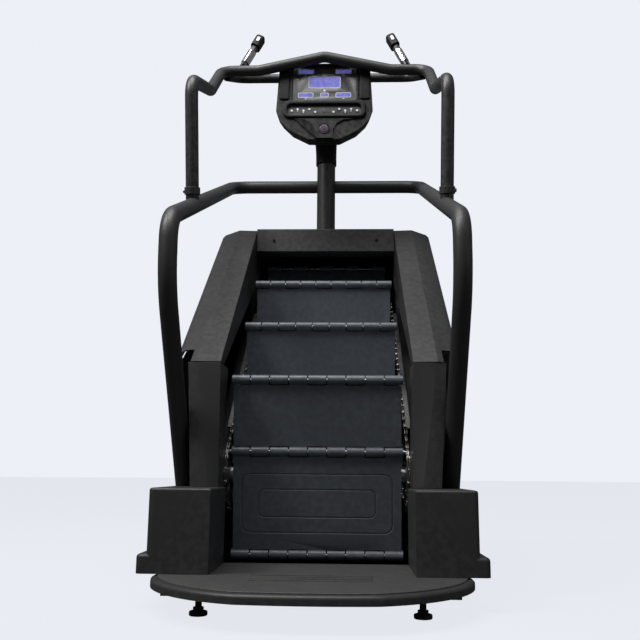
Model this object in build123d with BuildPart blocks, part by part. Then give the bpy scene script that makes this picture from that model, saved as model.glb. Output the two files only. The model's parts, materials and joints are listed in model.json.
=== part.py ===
from build123d import *
from math import atan2, cos, degrees, hypot, pi, radians, sin, sqrt
import os

os.makedirs("parts", exist_ok=True)

# Revolving-stair climber. Millimetres, +Z up, floor at zero, the user boards from -Y and faces +Y.
# Lengths along the machine are counted from the nose of the lowest level step, at noseY.

# Stair linkage
noseY = -300.0
noseZ = 600.0
stepRise = 206.0
stepRun = 262.0
treadDepth = 296.0
riserHeight = 209.0
stepWidth = 500.0
riserWidth = 488.0
stepCount = 8
sprocketTeeth = 17
chainLinks = 72
lowerWrapDegrees = 10.0
plateThickness = 8.0
barrelRadius = 14.0
knuckleCount = 9
knuckleGap = 3.0
pinRadius = 4.0
pinClearance = 0.05
axleRadius = 6.0
hingePlateGap = 2.0

# Chain and shafts
chainOffset = 262.0
chainHeight = 16.0
chainThickness = 8.0
shaftRadius = 15.0
shaftClearance = 0.06
sprocketThickness = 6.0

# Side frames and base
frameInner = 282.0
frameWidth = 40.0
railLow = 44.0
railHigh = 74.0
railInner = 300.0
railWidth = 56.0
baseBackY = 1130.0
baseFrontY = -338.0

# Covers
coverHalf = 410.0
coverInner = 272.0
coverWall = 4.0
topHeight = 1282.0
coverSlope = 0.80
coverSlopeZ = 708.0
shroudStartY = 826.0
farEndY = 1150.0
skirtLow = 84.0
seamGap = 1.0

# Platform
platformTop = 80.0
platformLow = 58.0
platformHalf = 400.0
platformFrontY = -550.0
platformBackY = 25.0

# Rear base boxes
boxInner = 257.0
boxOuter = 415.0
boxFlange = 440.0
boxFrontY = -262.0
boxBackY = 110.0
boxTop = 293.0
flangeTop = 132.0

# Handrails and console
railRadius = 25.0
gripRailRadius = 20.0
rearBarRadius = 17.0
tubeWall = 2.5
railHalf = 385.0
upperHalf = 388.0
mastRadius = 37.0
mastY = 778.0
crossbarY = 790.0
crossbarZ = 1490.0

footPadRadius = 22.0
footStemRadius = 8.0
wheelRadius = 30.0

slopeAngle = atan2(stepRise, stepRun)
alongY, alongZ = cos(slopeAngle), sin(slopeAngle)
normalY, normalZ = -alongZ, alongY
hingePitch = hypot(stepRise, stepRun)
chainPitch = stepCount * hingePitch / chainLinks
sprocketPitchRadius = sprocketTeeth * chainPitch / (2 * pi)
chainStraight = (stepCount * hingePitch - 2 * pi * sprocketPitchRadius) / 2
chainLoop = stepCount * hingePitch
backToTangent = hingePitch - sprocketPitchRadius * radians(lowerWrapDegrees)
tangentY = treadDepth - alongY * backToTangent
tangentZ = noseZ - alongZ * backToTangent
lowerShaftY = tangentY - normalY * sprocketPitchRadius
lowerShaftZ = tangentZ - normalZ * sprocketPitchRadius
upperShaftY = lowerShaftY + alongY * chainStraight
upperShaftZ = lowerShaftZ + alongZ * chainStraight


def chain_point(distance):
    """Point of the chain line, counted up the user's side from the lower sprocket."""
    distance = distance % chainLoop
    if distance < chainStraight:
        return tangentY + alongY * distance, tangentZ + alongZ * distance
    distance -= chainStraight
    if distance < pi * sprocketPitchRadius:
        angle = slopeAngle + pi / 2 - distance / sprocketPitchRadius
        return (upperShaftY + sprocketPitchRadius * cos(angle),
                upperShaftZ + sprocketPitchRadius * sin(angle))
    distance -= pi * sprocketPitchRadius
    if distance < chainStraight:
        return (upperShaftY - normalY * sprocketPitchRadius - alongY * distance,
                upperShaftZ - normalZ * sprocketPitchRadius - alongZ * distance)
    distance -= chainStraight
    angle = slopeAngle - pi / 2 - distance / sprocketPitchRadius
    return (lowerShaftY + sprocketPitchRadius * cos(angle),
            lowerShaftZ + sprocketPitchRadius * sin(angle))


def nose_point(rear, nextRear):
    """Outer crossing of the tread's and the riser's arcs about their chain hinges."""
    dy, dz = nextRear[0] - rear[0], nextRear[1] - rear[1]
    gap = hypot(dy, dz)
    along = (treadDepth ** 2 - riserHeight ** 2 + gap ** 2) / (2 * gap)
    aside = sqrt(treadDepth ** 2 - along ** 2)
    return (rear[0] + dy / gap * along + dz / gap * aside,
            rear[1] + dz / gap * along - dy / gap * aside)


rears = [chain_point(backToTangent + (3 - k) * hingePitch) for k in range(stepCount + 1)]
noses = [nose_point(rears[k], rears[(k + 1) % stepCount]) for k in range(stepCount)]


def save(part, name):
    part.label = name
    export_step(part, f"parts/{name}.step")
    print(name, round(part.volume / 1000), "cm3")


def side_plane(x, y, z):
    """Plane across the machine at x, its own X along +Y and its own Y along +Z."""
    return Plane(origin=(x, y + noseY, z), x_dir=(0, 1, 0), z_dir=(1, 0, 0))


def link_plane(start, end, x=0.0):
    """Plane across the machine with its own X from start to end, both given along Y and Z."""
    dy, dz = end[0] - start[0], end[1] - start[1]
    return Plane(origin=(x, start[0] + noseY, start[1]), x_dir=(0, dy, dz), z_dir=(1, 0, 0))


def knuckle_span(index, count, width):
    pitch = width / count
    return -width / 2 + pitch * (index + 0.5), pitch - knuckleGap


# ---- Steps -------------------------------------------------------------

grooveDepth = 1.5
grooveWidth = 4.0


def hinged_plate(start, end, width, startOdd, endOdd, startHole, endHole, name):
    """Flat plate between two hinge lines, with its own knuckles on each. None leaves an edge plain."""
    length = hypot(end[0] - start[0], end[1] - start[1])
    edge = barrelRadius + hingePlateGap
    frame = link_plane(start, end)
    with BuildPart() as plate:
        with BuildSketch(frame):
            with Locations((length / 2, 0)):
                Rectangle(length - 2 * edge, plateThickness)
        extrude(amount=width / 2, both=True)
        for place, odd, hole in ((0, startOdd, startHole), (length, endOdd, endHole)):
            if odd is None:
                continue
            inward = 1 if place == 0 else -1
            for index in range(odd, knuckleCount, 2):
                middle, span = knuckle_span(index, knuckleCount, stepWidth)
                with BuildSketch(frame.offset(middle)):
                    with Locations((place, 0)):
                        Circle(barrelRadius)
                    with Locations((place + inward * edge / 2, 0)):
                        Rectangle(edge + 1, plateThickness)
                extrude(amount=span / 2, both=True)
            with BuildSketch(frame):
                with Locations((place, 0)):
                    Circle(hole)
            extrude(amount=stepWidth, both=True, mode=Mode.SUBTRACT)
    plate.part.label = name
    return plate.part


def tread(k, rearKnuckles=0):
    """Tread between its nose hinge and its chain axle, with two rounded grooves on top."""
    base = hinged_plate(noses[k], rears[k], riserWidth, 0, rearKnuckles,
                        pinRadius + pinClearance, axleRadius + pinClearance, "tread")
    middleY = (noses[k][0] + rears[k][0]) / 2 + noseY
    middleZ = (noses[k][1] + rears[k][1]) / 2
    along = Vector(0, rears[k][0] - noses[k][0], rears[k][1] - noses[k][1]).normalized()
    face = Plane(origin=(0, middleY, middleZ), x_dir=(1, 0, 0),
                 z_dir=Vector(1, 0, 0).cross(along)).offset(plateThickness / 2)
    with BuildPart() as cutter:
        with BuildSketch(face):
            for long, wide, corner in ((440, 172, 26), (343, 83, 20)):
                RectangleRounded(long, wide, corner)
                RectangleRounded(long - 2 * grooveWidth, wide - 2 * grooveWidth,
                                 corner - grooveWidth, mode=Mode.SUBTRACT)
        extrude(amount=-grooveDepth)
    return base - cutter.part


def riser(k, topKnuckles=1, rearKnuckles=1):
    """Riser from a tread's nose down to the next chain axle."""
    return hinged_plate(noses[k], rears[(k + 1) % stepCount], riserWidth, topKnuckles, rearKnuckles,
                        pinRadius + pinClearance, axleRadius + pinClearance, "riser")


def rod(point, radius, halfLength):
    with BuildPart() as pin:
        with BuildSketch(side_plane(0, point[0], point[1])):
            Circle(radius)
        extrude(amount=halfLength, both=True)
    return pin.part


def group(pieces):
    return Compound(children=list(pieces))


save(group([tread(k) for k in (1, 2, 3)]), "level_treads")
save(group([riser(k) for k in (1, 2)]), "level_risers")
save(riser(3), "turning_riser")
save(tread(4), "hanging_tread")
save(riser(4, 1, None), "folding_riser")
save(group([tread(k) for k in (5, 6, 7, 0)]), "return_treads")
save(group([riser(k) for k in (5, 6, 7)]), "return_risers")
save(riser(0, None, 1), "top_riser")

pinHalf = stepWidth / 2 - 1
axleHalf = chainOffset - chainThickness / 2 - 0.5
save(group([rod(noses[k], pinRadius, pinHalf) for k in (1, 2, 3)]
           + [rod(rears[k], axleRadius, axleHalf) for k in (1, 2, 3)]), "level_hinge_pins")
save(group([rod(noses[4], pinRadius, pinHalf), rod(rears[4], axleRadius, axleHalf)]), "hanging_hinge_pins")
save(group([rod(noses[k], pinRadius, pinHalf) for k in (5, 6, 7, 0)]
           + [rod(rears[k], axleRadius, axleHalf) for k in (5, 6, 7, 0)]), "return_hinge_pins")


# ---- Chains, shafts and drive ------------------------------------------

def chain_band(side, inner, outer):
    """Chain loop as one closed band around both sprockets."""
    x = side * chainOffset
    centre = Plane(origin=(x, (lowerShaftY + upperShaftY) / 2 + noseY, (lowerShaftZ + upperShaftZ) / 2),
                   x_dir=(0, alongY, alongZ), z_dir=(1, 0, 0))
    with BuildPart() as band:
        with BuildSketch(centre):
            SlotCenterToCenter(chainStraight, 2 * outer)
            SlotCenterToCenter(chainStraight, 2 * inner, mode=Mode.SUBTRACT)
        extrude(amount=chainThickness / 2, both=True)
    return band.part


chainOut = sprocketPitchRadius + chainHeight / 2
chainIn = sprocketPitchRadius - chainHeight / 2
save(group([chain_band(side, chainIn, chainOut) for side in (-1, 1)]), "roller_chains")

sprocketTip = chainIn - 0.4
sprocketRoot = sprocketTip - 9.0
hubRadius = 26.0
hubWidth = 18.0


def sprocket(side, y, z, turn):
    with BuildPart() as wheel:
        with BuildSketch(side_plane(side * chainOffset, y, z)):
            Circle(sprocketRoot)
            with PolarLocations(sprocketRoot - 1, sprocketTeeth, start_angle=turn):
                with Locations((sprocketTip - sprocketRoot, 0)):
                    RectangleRounded(2 * (sprocketTip - sprocketRoot), 15, 5)
            Circle(sprocketTip, mode=Mode.INTERSECT)
            with PolarLocations(52, 5):
                Circle(17, mode=Mode.SUBTRACT)
            Circle(shaftRadius, mode=Mode.SUBTRACT)
        extrude(amount=sprocketThickness / 2, both=True)
        with BuildSketch(side_plane(side * (chainOffset - sprocketThickness), y, z)):
            Circle(hubRadius)
            Circle(shaftRadius, mode=Mode.SUBTRACT)
        extrude(amount=hubWidth / 2, both=True)
    return wheel.part


def shaft(y, z, low, high):
    with BuildPart() as bar:
        with BuildSketch(side_plane(low, y, z)):
            Circle(shaftRadius)
        extrude(amount=high - low)
    return bar.part


pulleyX = 352.0
shaftEnd = frameInner + frameWidth + 6
save(shaft(lowerShaftY, lowerShaftZ, -shaftEnd, shaftEnd), "lower_shaft")
save(shaft(upperShaftY, upperShaftZ, -shaftEnd, pulleyX + 22), "upper_shaft")
save(group([sprocket(s, lowerShaftY, lowerShaftZ, 4) for s in (-1, 1)]), "lower_sprockets")
save(group([sprocket(s, upperShaftY, upperShaftZ, 9) for s in (-1, 1)]), "upper_sprockets")

bearingRadius = 30.0


def bearing(side, y, z):
    low = frameInner if side > 0 else -frameInner - frameWidth
    with BuildPart() as ring:
        with BuildSketch(side_plane(low, y, z)):
            Circle(bearingRadius)
            Circle(shaftRadius + shaftClearance, mode=Mode.SUBTRACT)
        extrude(amount=frameWidth)
    return ring.part


save(group([bearing(s, y, z) for s in (-1, 1)
            for y, z in ((lowerShaftY, lowerShaftZ), (upperShaftY, upperShaftZ))]), "shaft_bearings")

# Belt drive on the right, between the side frame and the skirt
bigPulley = 105.0
smallPulley = 28.0
beltWidth = 20.0
beltThickness = 4.0
brakeY = 770.0
brakeZ = 560.0
brakeRadius = 88.0


def pulley(y, z, radius, bore, low, high):
    with BuildPart() as wheel:
        with BuildSketch(side_plane(low, y, z)):
            Circle(radius)
            Circle(bore, mode=Mode.SUBTRACT)
        extrude(amount=high - low)
    return wheel.part


def belt():
    with BuildPart() as band:
        for grow, mode in ((beltThickness, Mode.ADD), (0.05, Mode.SUBTRACT)):
            with BuildSketch(side_plane(pulleyX - beltWidth / 2, 0, 0)):
                with Locations((upperShaftY, upperShaftZ)):
                    Circle(bigPulley + grow)
                with Locations((brakeY, brakeZ)):
                    Circle(smallPulley + grow)
                make_hull()
            extrude(amount=beltWidth, mode=mode)
    return band.part


save(pulley(upperShaftY, upperShaftZ, bigPulley, shaftRadius, pulleyX - 11, pulleyX + 11), "drive_pulley")
save(belt(), "drive_belt")

brakeShaft = 10.0
with BuildPart() as brakePulley:
    with BuildSketch(side_plane(pulleyX - 11, brakeY, brakeZ)):
        Circle(smallPulley)
    extrude(amount=22)
    with BuildSketch(side_plane(pulleyX + 11, brakeY, brakeZ)):
        Circle(brakeRadius)
    extrude(amount=24)
    with BuildSketch(side_plane(pulleyX - 28, brakeY, brakeZ)):
        Circle(brakeShaft)
    extrude(amount=20)
save(brakePulley.part, "brake_flywheel")

with BuildPart() as brakeHousing:
    with BuildSketch(side_plane(frameInner + frameWidth, brakeY, brakeZ)):
        Circle(62)
        Circle(brakeShaft + shaftClearance, mode=Mode.SUBTRACT)
    extrude(amount=17)
save(brakeHousing.part, "brake_housing")


# ---- Frames ------------------------------------------------------------

def bar_sketch(start, end, width):
    """Rectangle from one point to another in a side plane's own axes."""
    dy, dz = end[0] - start[0], end[1] - start[1]
    with Locations(Location(((start[0] + end[0]) / 2, (start[1] + end[1]) / 2), degrees(atan2(dz, dy)))):
        Rectangle(hypot(dy, dz), width)


topTubeLow = 1200.0
topTubeHigh = 1228.0
postWidth = 60.0
deckZ = (topTubeLow + topTubeHigh) / 2
frameWall = 4.0


def side_frame(side):
    """Welded side frame: sloping main beam, three posts and a top rail, bored for both bearings."""
    low = frameInner if side > 0 else -frameInner - frameWidth
    with BuildPart() as frame:
        with BuildSketch(side_plane(low, 0, 0)):
            bar_sketch((lowerShaftY, lowerShaftZ), (upperShaftY, upperShaftZ), 70)
            bar_sketch((lowerShaftY, railHigh), (lowerShaftY, lowerShaftZ), postWidth)
            bar_sketch((upperShaftY, railHigh), (upperShaftY, topTubeHigh), postWidth)
            bar_sketch((mastY, deckZ - 460), (mastY, topTubeHigh), postWidth)
            bar_sketch((mastY - postWidth / 2, deckZ), (upperShaftY + postWidth / 2, deckZ),
                       topTubeHigh - topTubeLow)
            bar_sketch((lowerShaftY, railHigh + 25), (upperShaftY, railHigh + 25), 50)
            if side > 0:
                with Locations((brakeY, brakeZ)):
                    Circle(66)
                bar_sketch((brakeY - 140, brakeZ), (brakeY + 140, brakeZ), 60)
            for y, z in ((lowerShaftY, lowerShaftZ), (upperShaftY, upperShaftZ)):
                with Locations((y, z)):
                    Circle(bearingRadius + 16)
                    Circle(bearingRadius, mode=Mode.SUBTRACT)
        extrude(amount=frameWidth)
        if side > 0:
            with BuildSketch(side_plane(low, brakeY, brakeZ)):
                Circle(brakeShaft + 2)
            extrude(amount=frameWidth, mode=Mode.SUBTRACT)
        with BuildSketch(side_plane(low + (0 if side < 0 else frameWall), 0, 0)):
            bar_sketch((lowerShaftY, lowerShaftZ), (upperShaftY, upperShaftZ), 70 - 2 * frameWall)
            bar_sketch((lowerShaftY, railHigh + frameWall), (lowerShaftY, lowerShaftZ),
                       postWidth - 2 * frameWall)
            bar_sketch((upperShaftY, railHigh + frameWall), (upperShaftY, topTubeHigh - frameWall),
                       postWidth - 2 * frameWall)
            bar_sketch((mastY, deckZ - 440), (mastY, topTubeHigh - frameWall), postWidth - 2 * frameWall)
            for y, z in ((lowerShaftY, lowerShaftZ), (upperShaftY, upperShaftZ)):
                with Locations((y, z)):
                    Circle(bearingRadius + 16, mode=Mode.SUBTRACT)
            if side > 0:
                with Locations((brakeY, brakeZ)):
                    Circle(66, mode=Mode.SUBTRACT)
        extrude(amount=frameWidth - frameWall, mode=Mode.SUBTRACT)
    return frame.part


save(group([side_frame(-1), side_frame(1)]), "side_frames")

with BuildPart() as topDeck:
    with Locations((0, mastY + noseY, deckZ)):
        Box(2 * frameInner, 70, topTubeHigh - topTubeLow)
        Box(2 * frameInner, 70 - 2 * frameWall, topTubeHigh - topTubeLow - 2 * frameWall,
            mode=Mode.SUBTRACT)
save(topDeck.part, "top_cross_members")

trackThickness = 8.0
trackGap = 0.6
trackEndGap = 120.0
trackFace = sprocketPitchRadius - chainHeight / 2 - trackGap - trackThickness / 2
trackReach = frameInner - chainOffset + chainThickness / 2
with BuildPart() as tracks:
    for low in (chainOffset - chainThickness / 2, -frameInner):
        with BuildSketch(Plane(origin=(low, lowerShaftY + noseY, lowerShaftZ),
                               x_dir=(0, alongY, alongZ), z_dir=(1, 0, 0))):
            with Locations((chainStraight / 2, trackFace), (chainStraight / 2, -trackFace)):
                Rectangle(chainStraight - 2 * trackEndGap, trackThickness)
        extrude(amount=trackReach)
save(group(tracks.part.solids()), "guide_tracks")

footX = 265.0
footFrontY = -330.0
rearFootX = 328.0
rearFootY = 1080.0
wheelX = 376.0
wheelY = 1100.0
wheelZ = 46.0
wheelWidth = 22.0
wheelAxle = 6.0

with BuildPart() as baseFrame:
    for side in (-1, 1):
        with Locations((side * (railInner + railWidth / 2), (baseFrontY + baseBackY) / 2 + noseY,
                        (railLow + railHigh) / 2)):
            Box(railWidth, baseBackY - baseFrontY, railHigh - railLow)
        with Locations((side * 384, 62 + noseY, (railLow + railHigh) / 2)):
            Box(58, 80, railHigh - railLow)
        with BuildSketch(Plane.YZ.offset(side * (railInner + railWidth) - (0 if side > 0 else 34))):
            with Locations((wheelY + noseY, wheelZ)):
                Circle(wheelAxle)
        extrude(amount=34)
    for y, wide in ((footFrontY, 60), (500, 60), (rearFootY, 80)):
        with Locations((0, y + noseY, (railLow + railHigh) / 2)):
            Box(2 * railInner, wide, railHigh - railLow)
    with Locations((0, footFrontY + noseY, (railLow + railHigh) / 2 - frameWall)):
        Box(2 * (footX - 40), 60 - 2 * frameWall, railHigh - railLow, mode=Mode.SUBTRACT)
    for y, wide in ((500, 60), (rearFootY, 80)):
        with Locations((0, y + noseY, (railLow + railHigh) / 2 - frameWall)):
            Box(2 * (railInner - 10), wide - 2 * frameWall, railHigh - railLow, mode=Mode.SUBTRACT)
    for side in (-1, 1):
        with Locations((side * (railInner + railWidth / 2), (baseFrontY + rearFootY) / 2 + noseY,
                        (railLow + railHigh) / 2 - frameWall)):
            Box(railWidth - 2 * frameWall, rearFootY - baseFrontY - 80, railHigh - railLow,
                mode=Mode.SUBTRACT)
    for x, y in ((footX, footFrontY), (rearFootX, rearFootY)):
        for side in (-1, 1):
            with BuildSketch(Plane.XY.offset(railLow)):
                with Locations((side * x, y + noseY)):
                    Circle(footStemRadius + pinClearance)
            extrude(amount=railHigh - railLow - 4, mode=Mode.SUBTRACT)
save(baseFrame.part, "base_frame")


def levelling_foot(x, y):
    with BuildPart() as foot:
        with BuildSketch(Plane.XY):
            with Locations((x, y + noseY)):
                Circle(footPadRadius)
        extrude(amount=11)
        fillet(foot.edges().filter_by(GeomType.CIRCLE), 3)
        with BuildSketch(Plane.XY.offset(10)):
            with Locations((x, y + noseY)):
                RegularPolygon(13, 6)
        extrude(amount=10)
        with BuildSketch(Plane.XY.offset(19)):
            with Locations((x, y + noseY)):
                Circle(footStemRadius)
        extrude(amount=railHigh - 8 - 19)
    return foot.part


for word, x, y in (("front_left", -footX, footFrontY), ("front_right", footX, footFrontY),
                   ("rear_left", -rearFootX, rearFootY), ("rear_right", rearFootX, rearFootY)):
    save(levelling_foot(x, y), f"foot_{word}")


def transport_wheel(side):
    with BuildPart() as wheel:
        with BuildSketch(Plane.YZ.offset(side * wheelX - wheelWidth / 2)):
            with Locations((wheelY + noseY, wheelZ)):
                Circle(wheelRadius)
                Circle(wheelAxle + pinClearance, mode=Mode.SUBTRACT)
        extrude(amount=wheelWidth)
        chamfer(wheel.edges().filter_by(GeomType.CIRCLE).filter_by(
            lambda e: e.radius > wheelRadius - 1), 2)
    return wheel.part


save(transport_wheel(-1), "wheel_left")
save(transport_wheel(1), "wheel_right")


# ---- Entry platform ----------------------------------------------------

def platform_outline(inset):
    """D-shaped outline with a wide curved front, set in by the given distance."""
    half = platformHalf - inset
    front = platformFrontY + inset + noseY
    back = platformBackY - inset + noseY
    shoulder = -255 + noseY
    with BuildLine() as line:
        Line((half, back), (half, shoulder))
        ThreePointArc((half, shoulder), (half - 62, shoulder - 152 + inset * 0.5), (158, front + 10))
        ThreePointArc((158, front + 10), (0, front), (-158, front + 10))
        ThreePointArc((-158, front + 10), (62 - half, shoulder - 152 + inset * 0.5), (-half, shoulder))
        Line((-half, shoulder), (-half, back))
        Line((-half, back), (half, back))
    make_face(line.line.edges())


lipStep = 4.5
with BuildPart() as platform:
    with BuildSketch(Plane.XY.offset(platformLow)):
        platform_outline(0)
    extrude(amount=platformTop - platformLow - lipStep)
    for step in (1, 2, 3):
        with BuildSketch(Plane.XY.offset(platformTop - lipStep + (step - 1) * lipStep / 3)):
            platform_outline(step * step * 0.5)
        extrude(amount=lipStep / 3)
    with BuildSketch(Plane.XY.offset(platformLow)):
        platform_outline(14)
    extrude(amount=railHigh - platformLow, mode=Mode.SUBTRACT)
    for side in (-1, 1):
        with Locations((side * (railInner + railWidth / 2), platformBackY + noseY, (platformLow + railHigh) / 2)):
            Box(railWidth + 1, 60, railHigh - platformLow, mode=Mode.SUBTRACT)
        with Locations((side * 384, 30 + noseY, (platformLow + railHigh) / 2)):
            Box(59, 60, railHigh - platformLow, mode=Mode.SUBTRACT)
save(platform.part, "entry_platform")

panelThickness = 3.0
with BuildPart() as platformPanel:
    with BuildSketch(Plane.XY.offset(platformTop)):
        platform_outline(16)
    extrude(amount=panelThickness)
    with BuildSketch(Plane.XY.offset(platformTop + panelThickness)):
        for lineY in (-48, -16, 16, 48):
            with Locations((0, -300 + lineY + noseY)):
                SlotOverall(300, 12)
    extrude(amount=0.9)
save(platformPanel.part, "platform_tread_panel")


# ---- Covers ------------------------------------------------------------

def slope_z(y):
    """Height of the side covers' outer top edge at a distance along the machine."""
    return coverSlopeZ + coverSlope * y


def mirrored(part):
    return mirror(part, about=Plane.YZ)


coverCrease = 342.0
coverEndZ = 642.0
coverShoulder = 18.0
railNotchX = 360.0
railNotchTop = 684.0


def upper_cover():
    """Right sloping cover: a level inner facet, a falling outer facet, and a notch that clears the handrail."""
    low, high = (coverEndZ - coverSlopeZ) / coverSlope, shroudStartY - 2 * seamGap
    width = coverHalf - coverInner
    breakY = (topHeight - coverSlopeZ) / coverSlope
    along = Vector(0, 1, coverSlope).normalized()
    across = Plane(origin=(0, low + noseY, coverEndZ), x_dir=(-1, 0, 0), z_dir=along)
    with BuildPart() as skin:
        with BuildSketch(side_plane(coverInner, 0, 0)):
            Polygon((low, coverEndZ), (breakY, topHeight), (high, topHeight), (high, 1110), (-14, coverEndZ),
                    align=None)
        extrude(amount=width)
        with BuildSketch(across.offset(-500)):
            Polygon((-coverInner, -4), (-coverCrease, 0), (12 - coverHalf, -coverShoulder), (-coverHalf, -28),
                    (-coverHalf, -700), (-coverInner, -700), align=None)
        extrude(amount=2200, mode=Mode.INTERSECT)
        with BuildSketch(Plane.XZ.offset(-noseY)):
            Polygon((coverInner, topHeight), (coverCrease, topHeight), (coverHalf - 12, topHeight - coverShoulder),
                    (coverHalf, topHeight - 28), (coverHalf, 500), (coverInner, 500), align=None)
        extrude(amount=2000, both=True, mode=Mode.INTERSECT)
    with BuildPart() as core:
        with BuildSketch(side_plane(coverInner, 0, 0)):
            Polygon((low - 60, slope_z(low - 60)), (breakY - 2, topHeight - coverWall),
                    (high + 40, topHeight - coverWall), (high + 40, 1000), (low - 60, 400), align=None)
        extrude(amount=width)
        with BuildSketch(across.offset(-500)):
            Polygon((-coverInner - coverWall, -8.5), (-coverCrease, -4.5), (13 - coverHalf, -coverShoulder - 5),
                    (coverWall - coverHalf, -31), (coverWall - coverHalf, -700), (-coverInner - coverWall, -700),
                    align=None)
        extrude(amount=2200, mode=Mode.INTERSECT)
        with BuildSketch(Plane.XZ.offset(-noseY)):
            Polygon((coverInner, topHeight), (coverCrease, topHeight - coverWall),
                    (coverHalf - 13, topHeight - coverShoulder - 4), (coverHalf - coverWall, topHeight - 31),
                    (coverHalf - coverWall, 300), (coverInner, 300), align=None)
        extrude(amount=2000, both=True, mode=Mode.INTERSECT)
    cover = skin.part - core.part
    frameNotch = Pos(coverInner, mastY + noseY, topTubeHigh - 58) * Box(
        2 * (frameInner - coverInner) + 2, 78, 120)
    notchHeight = railNotchTop - coverEndZ
    railNotch = Pos((railNotchX + coverHalf + 2) / 2, low + noseY, coverEndZ + notchHeight / 2 - 1) * Box(
        coverHalf + 2 - railNotchX, 160, notchHeight + 2)
    return cover - frameNotch - railNotch


rightCover = upper_cover()
save(rightCover, "upper_cover_right")
save(mirrored(rightCover), "upper_cover_left")


def lower_panel():
    """Right lower panel: steep faceted plate between the base box and the sloping cover."""
    outlines = []
    for grow in (0, coverWall):
        lowPoints = [(344 - grow, 60), (344 - grow, -92 + grow), (292, -108 + grow),
                     (266 + grow, -94 + grow), (266 + grow, 0)]
        highPoints = [(366 - grow, 70), (366 - grow, -72 + grow), (340, -80 + grow),
                      (272.5 + grow, -77 + grow), (272.5 + grow, 62)]
        outlines.append((lowPoints, highPoints))
    lowRing = outlines[0][0] + outlines[1][0][::-1]
    highRing = outlines[0][1] + outlines[1][1][::-1]
    with BuildPart() as panel:
        for ring, height in ((lowRing, boxTop + 1), (highRing, 640)):
            with BuildSketch(Plane.XY.offset(height)):
                Polygon(*[(x, y + noseY) for x, y in ring], align=None)
        loft(ruled=True)
    return panel.part


rightPanel = lower_panel()
save(group([rightPanel, mirrored(rightPanel)]), "lower_panels")

skirtStart = boxBackY + 2


def side_skirt():
    """Right outer side panel below the sloping cover, with a folded rear edge."""
    def seam(y):
        return 640 + (1108 - 640) / (800 + 14) * (y + 14) - seamGap
    with BuildPart() as skirt:
        with BuildSketch(side_plane(coverHalf - 9, 0, 0)):
            Polygon((skirtStart, skirtLow), (shroudStartY - 2, skirtLow), (shroudStartY - 2, seam(shroudStartY - 2)),
                    (-13, seam(-13)), (-13, 440), (76, boxTop + 2), (skirtStart, boxTop + 2), align=None)
        extrude(amount=coverWall)
        for y in (250, 420, 590):
            with BuildSketch(side_plane(coverHalf - 9 + coverWall, y, 470 + (y - 250) * 0.25)):
                SlotOverall(210 + (y - 250) * 0.2, 14, rotation=90)
            extrude(amount=2)
    return skirt.part


rightSkirt = side_skirt()
save(group([rightSkirt, mirrored(rightSkirt)]), "side_skirts")

beamFrontY = 696.0
beamLow = 1190.0
beamHalf = 270.0
mastHoleGap = 2.0
with BuildPart() as crossBeam:
    with BuildSketch(side_plane(-beamHalf, 0, 0)):
        Polygon((beamFrontY, beamLow), (beamFrontY, topHeight - 6), (beamFrontY + 6, topHeight),
                (shroudStartY - 2, topHeight), (shroudStartY - 2, topHeight - coverWall),
                (beamFrontY + 8, topHeight - coverWall), (beamFrontY + coverWall, topHeight - 8),
                (beamFrontY + coverWall, beamLow + coverWall), (beamFrontY + 22, beamLow + coverWall),
                (beamFrontY + 22, beamLow), align=None)
    extrude(amount=2 * beamHalf)
    with BuildSketch(Plane.XY.offset(topHeight - 20)):
        with Locations((0, mastY + noseY)):
            Circle(mastRadius + mastHoleGap)
    extrude(amount=40, mode=Mode.SUBTRACT)
    with BuildSketch(Plane.XZ.offset(-beamFrontY - noseY)):
        with Locations((-202, 1233), (202, 1233)):
            Circle(3.05)
    extrude(amount=30, both=True, mode=Mode.SUBTRACT)
save(crossBeam.part, "top_crossbeam")

with BuildPart() as beamScrews:
    with BuildSketch(Plane.XZ.offset(-beamFrontY - noseY)):
        with Locations((-202, 1233), (202, 1233)):
            Circle(6)
            RegularPolygon(2.6, 6, mode=Mode.SUBTRACT)
    extrude(amount=3)
    with BuildSketch(Plane.XZ.offset(-beamFrontY - noseY)):
        with Locations((-202, 1233), (202, 1233)):
            Circle(3)
    extrude(amount=-12)
save(group(beamScrews.part.solids()), "beam_screws")

shroudCorner = 24.0


def shroud_block(inset):
    """Solid with the far cover's outline, set in by the given distance and open towards the stairs."""
    start = shroudStartY - 2 * inset
    low = skirtLow - 2 * inset
    back = farEndY - inset
    with BuildPart() as block:
        with BuildSketch(side_plane(-coverHalf + inset, 0, 0)):
            Polygon((start, low), (back, low), (back, 1110 - inset), (back - 30, 1200 - inset),
                    (farEndY - 100, topHeight - inset), (start, topHeight - inset), align=None)
        extrude(amount=2 * (coverHalf - inset))
        fillet(block.edges().filter_by(Axis.Z).group_by(Axis.Y)[-1], shroudCorner - inset)
    return block.part


ventRows = 5
ventPitch = 30.0
ventLow = 300.0
with BuildPart() as farShroud:
    add(shroud_block(0))
    add(shroud_block(coverWall), mode=Mode.SUBTRACT)
    for row in range(ventRows):
        with BuildSketch(Plane.XZ.offset(-farEndY - noseY)):
            with Locations((0, ventLow + row * ventPitch)):
                SlotOverall(260, 10)
        extrude(amount=20, both=True, mode=Mode.SUBTRACT)
    with BuildSketch(Plane.XZ.offset(-farEndY - noseY)):
        with Locations((-250, 160)):
            Rectangle(46, 30)
    extrude(amount=20, both=True, mode=Mode.SUBTRACT)
save(farShroud.part, "far_shroud")

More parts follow.
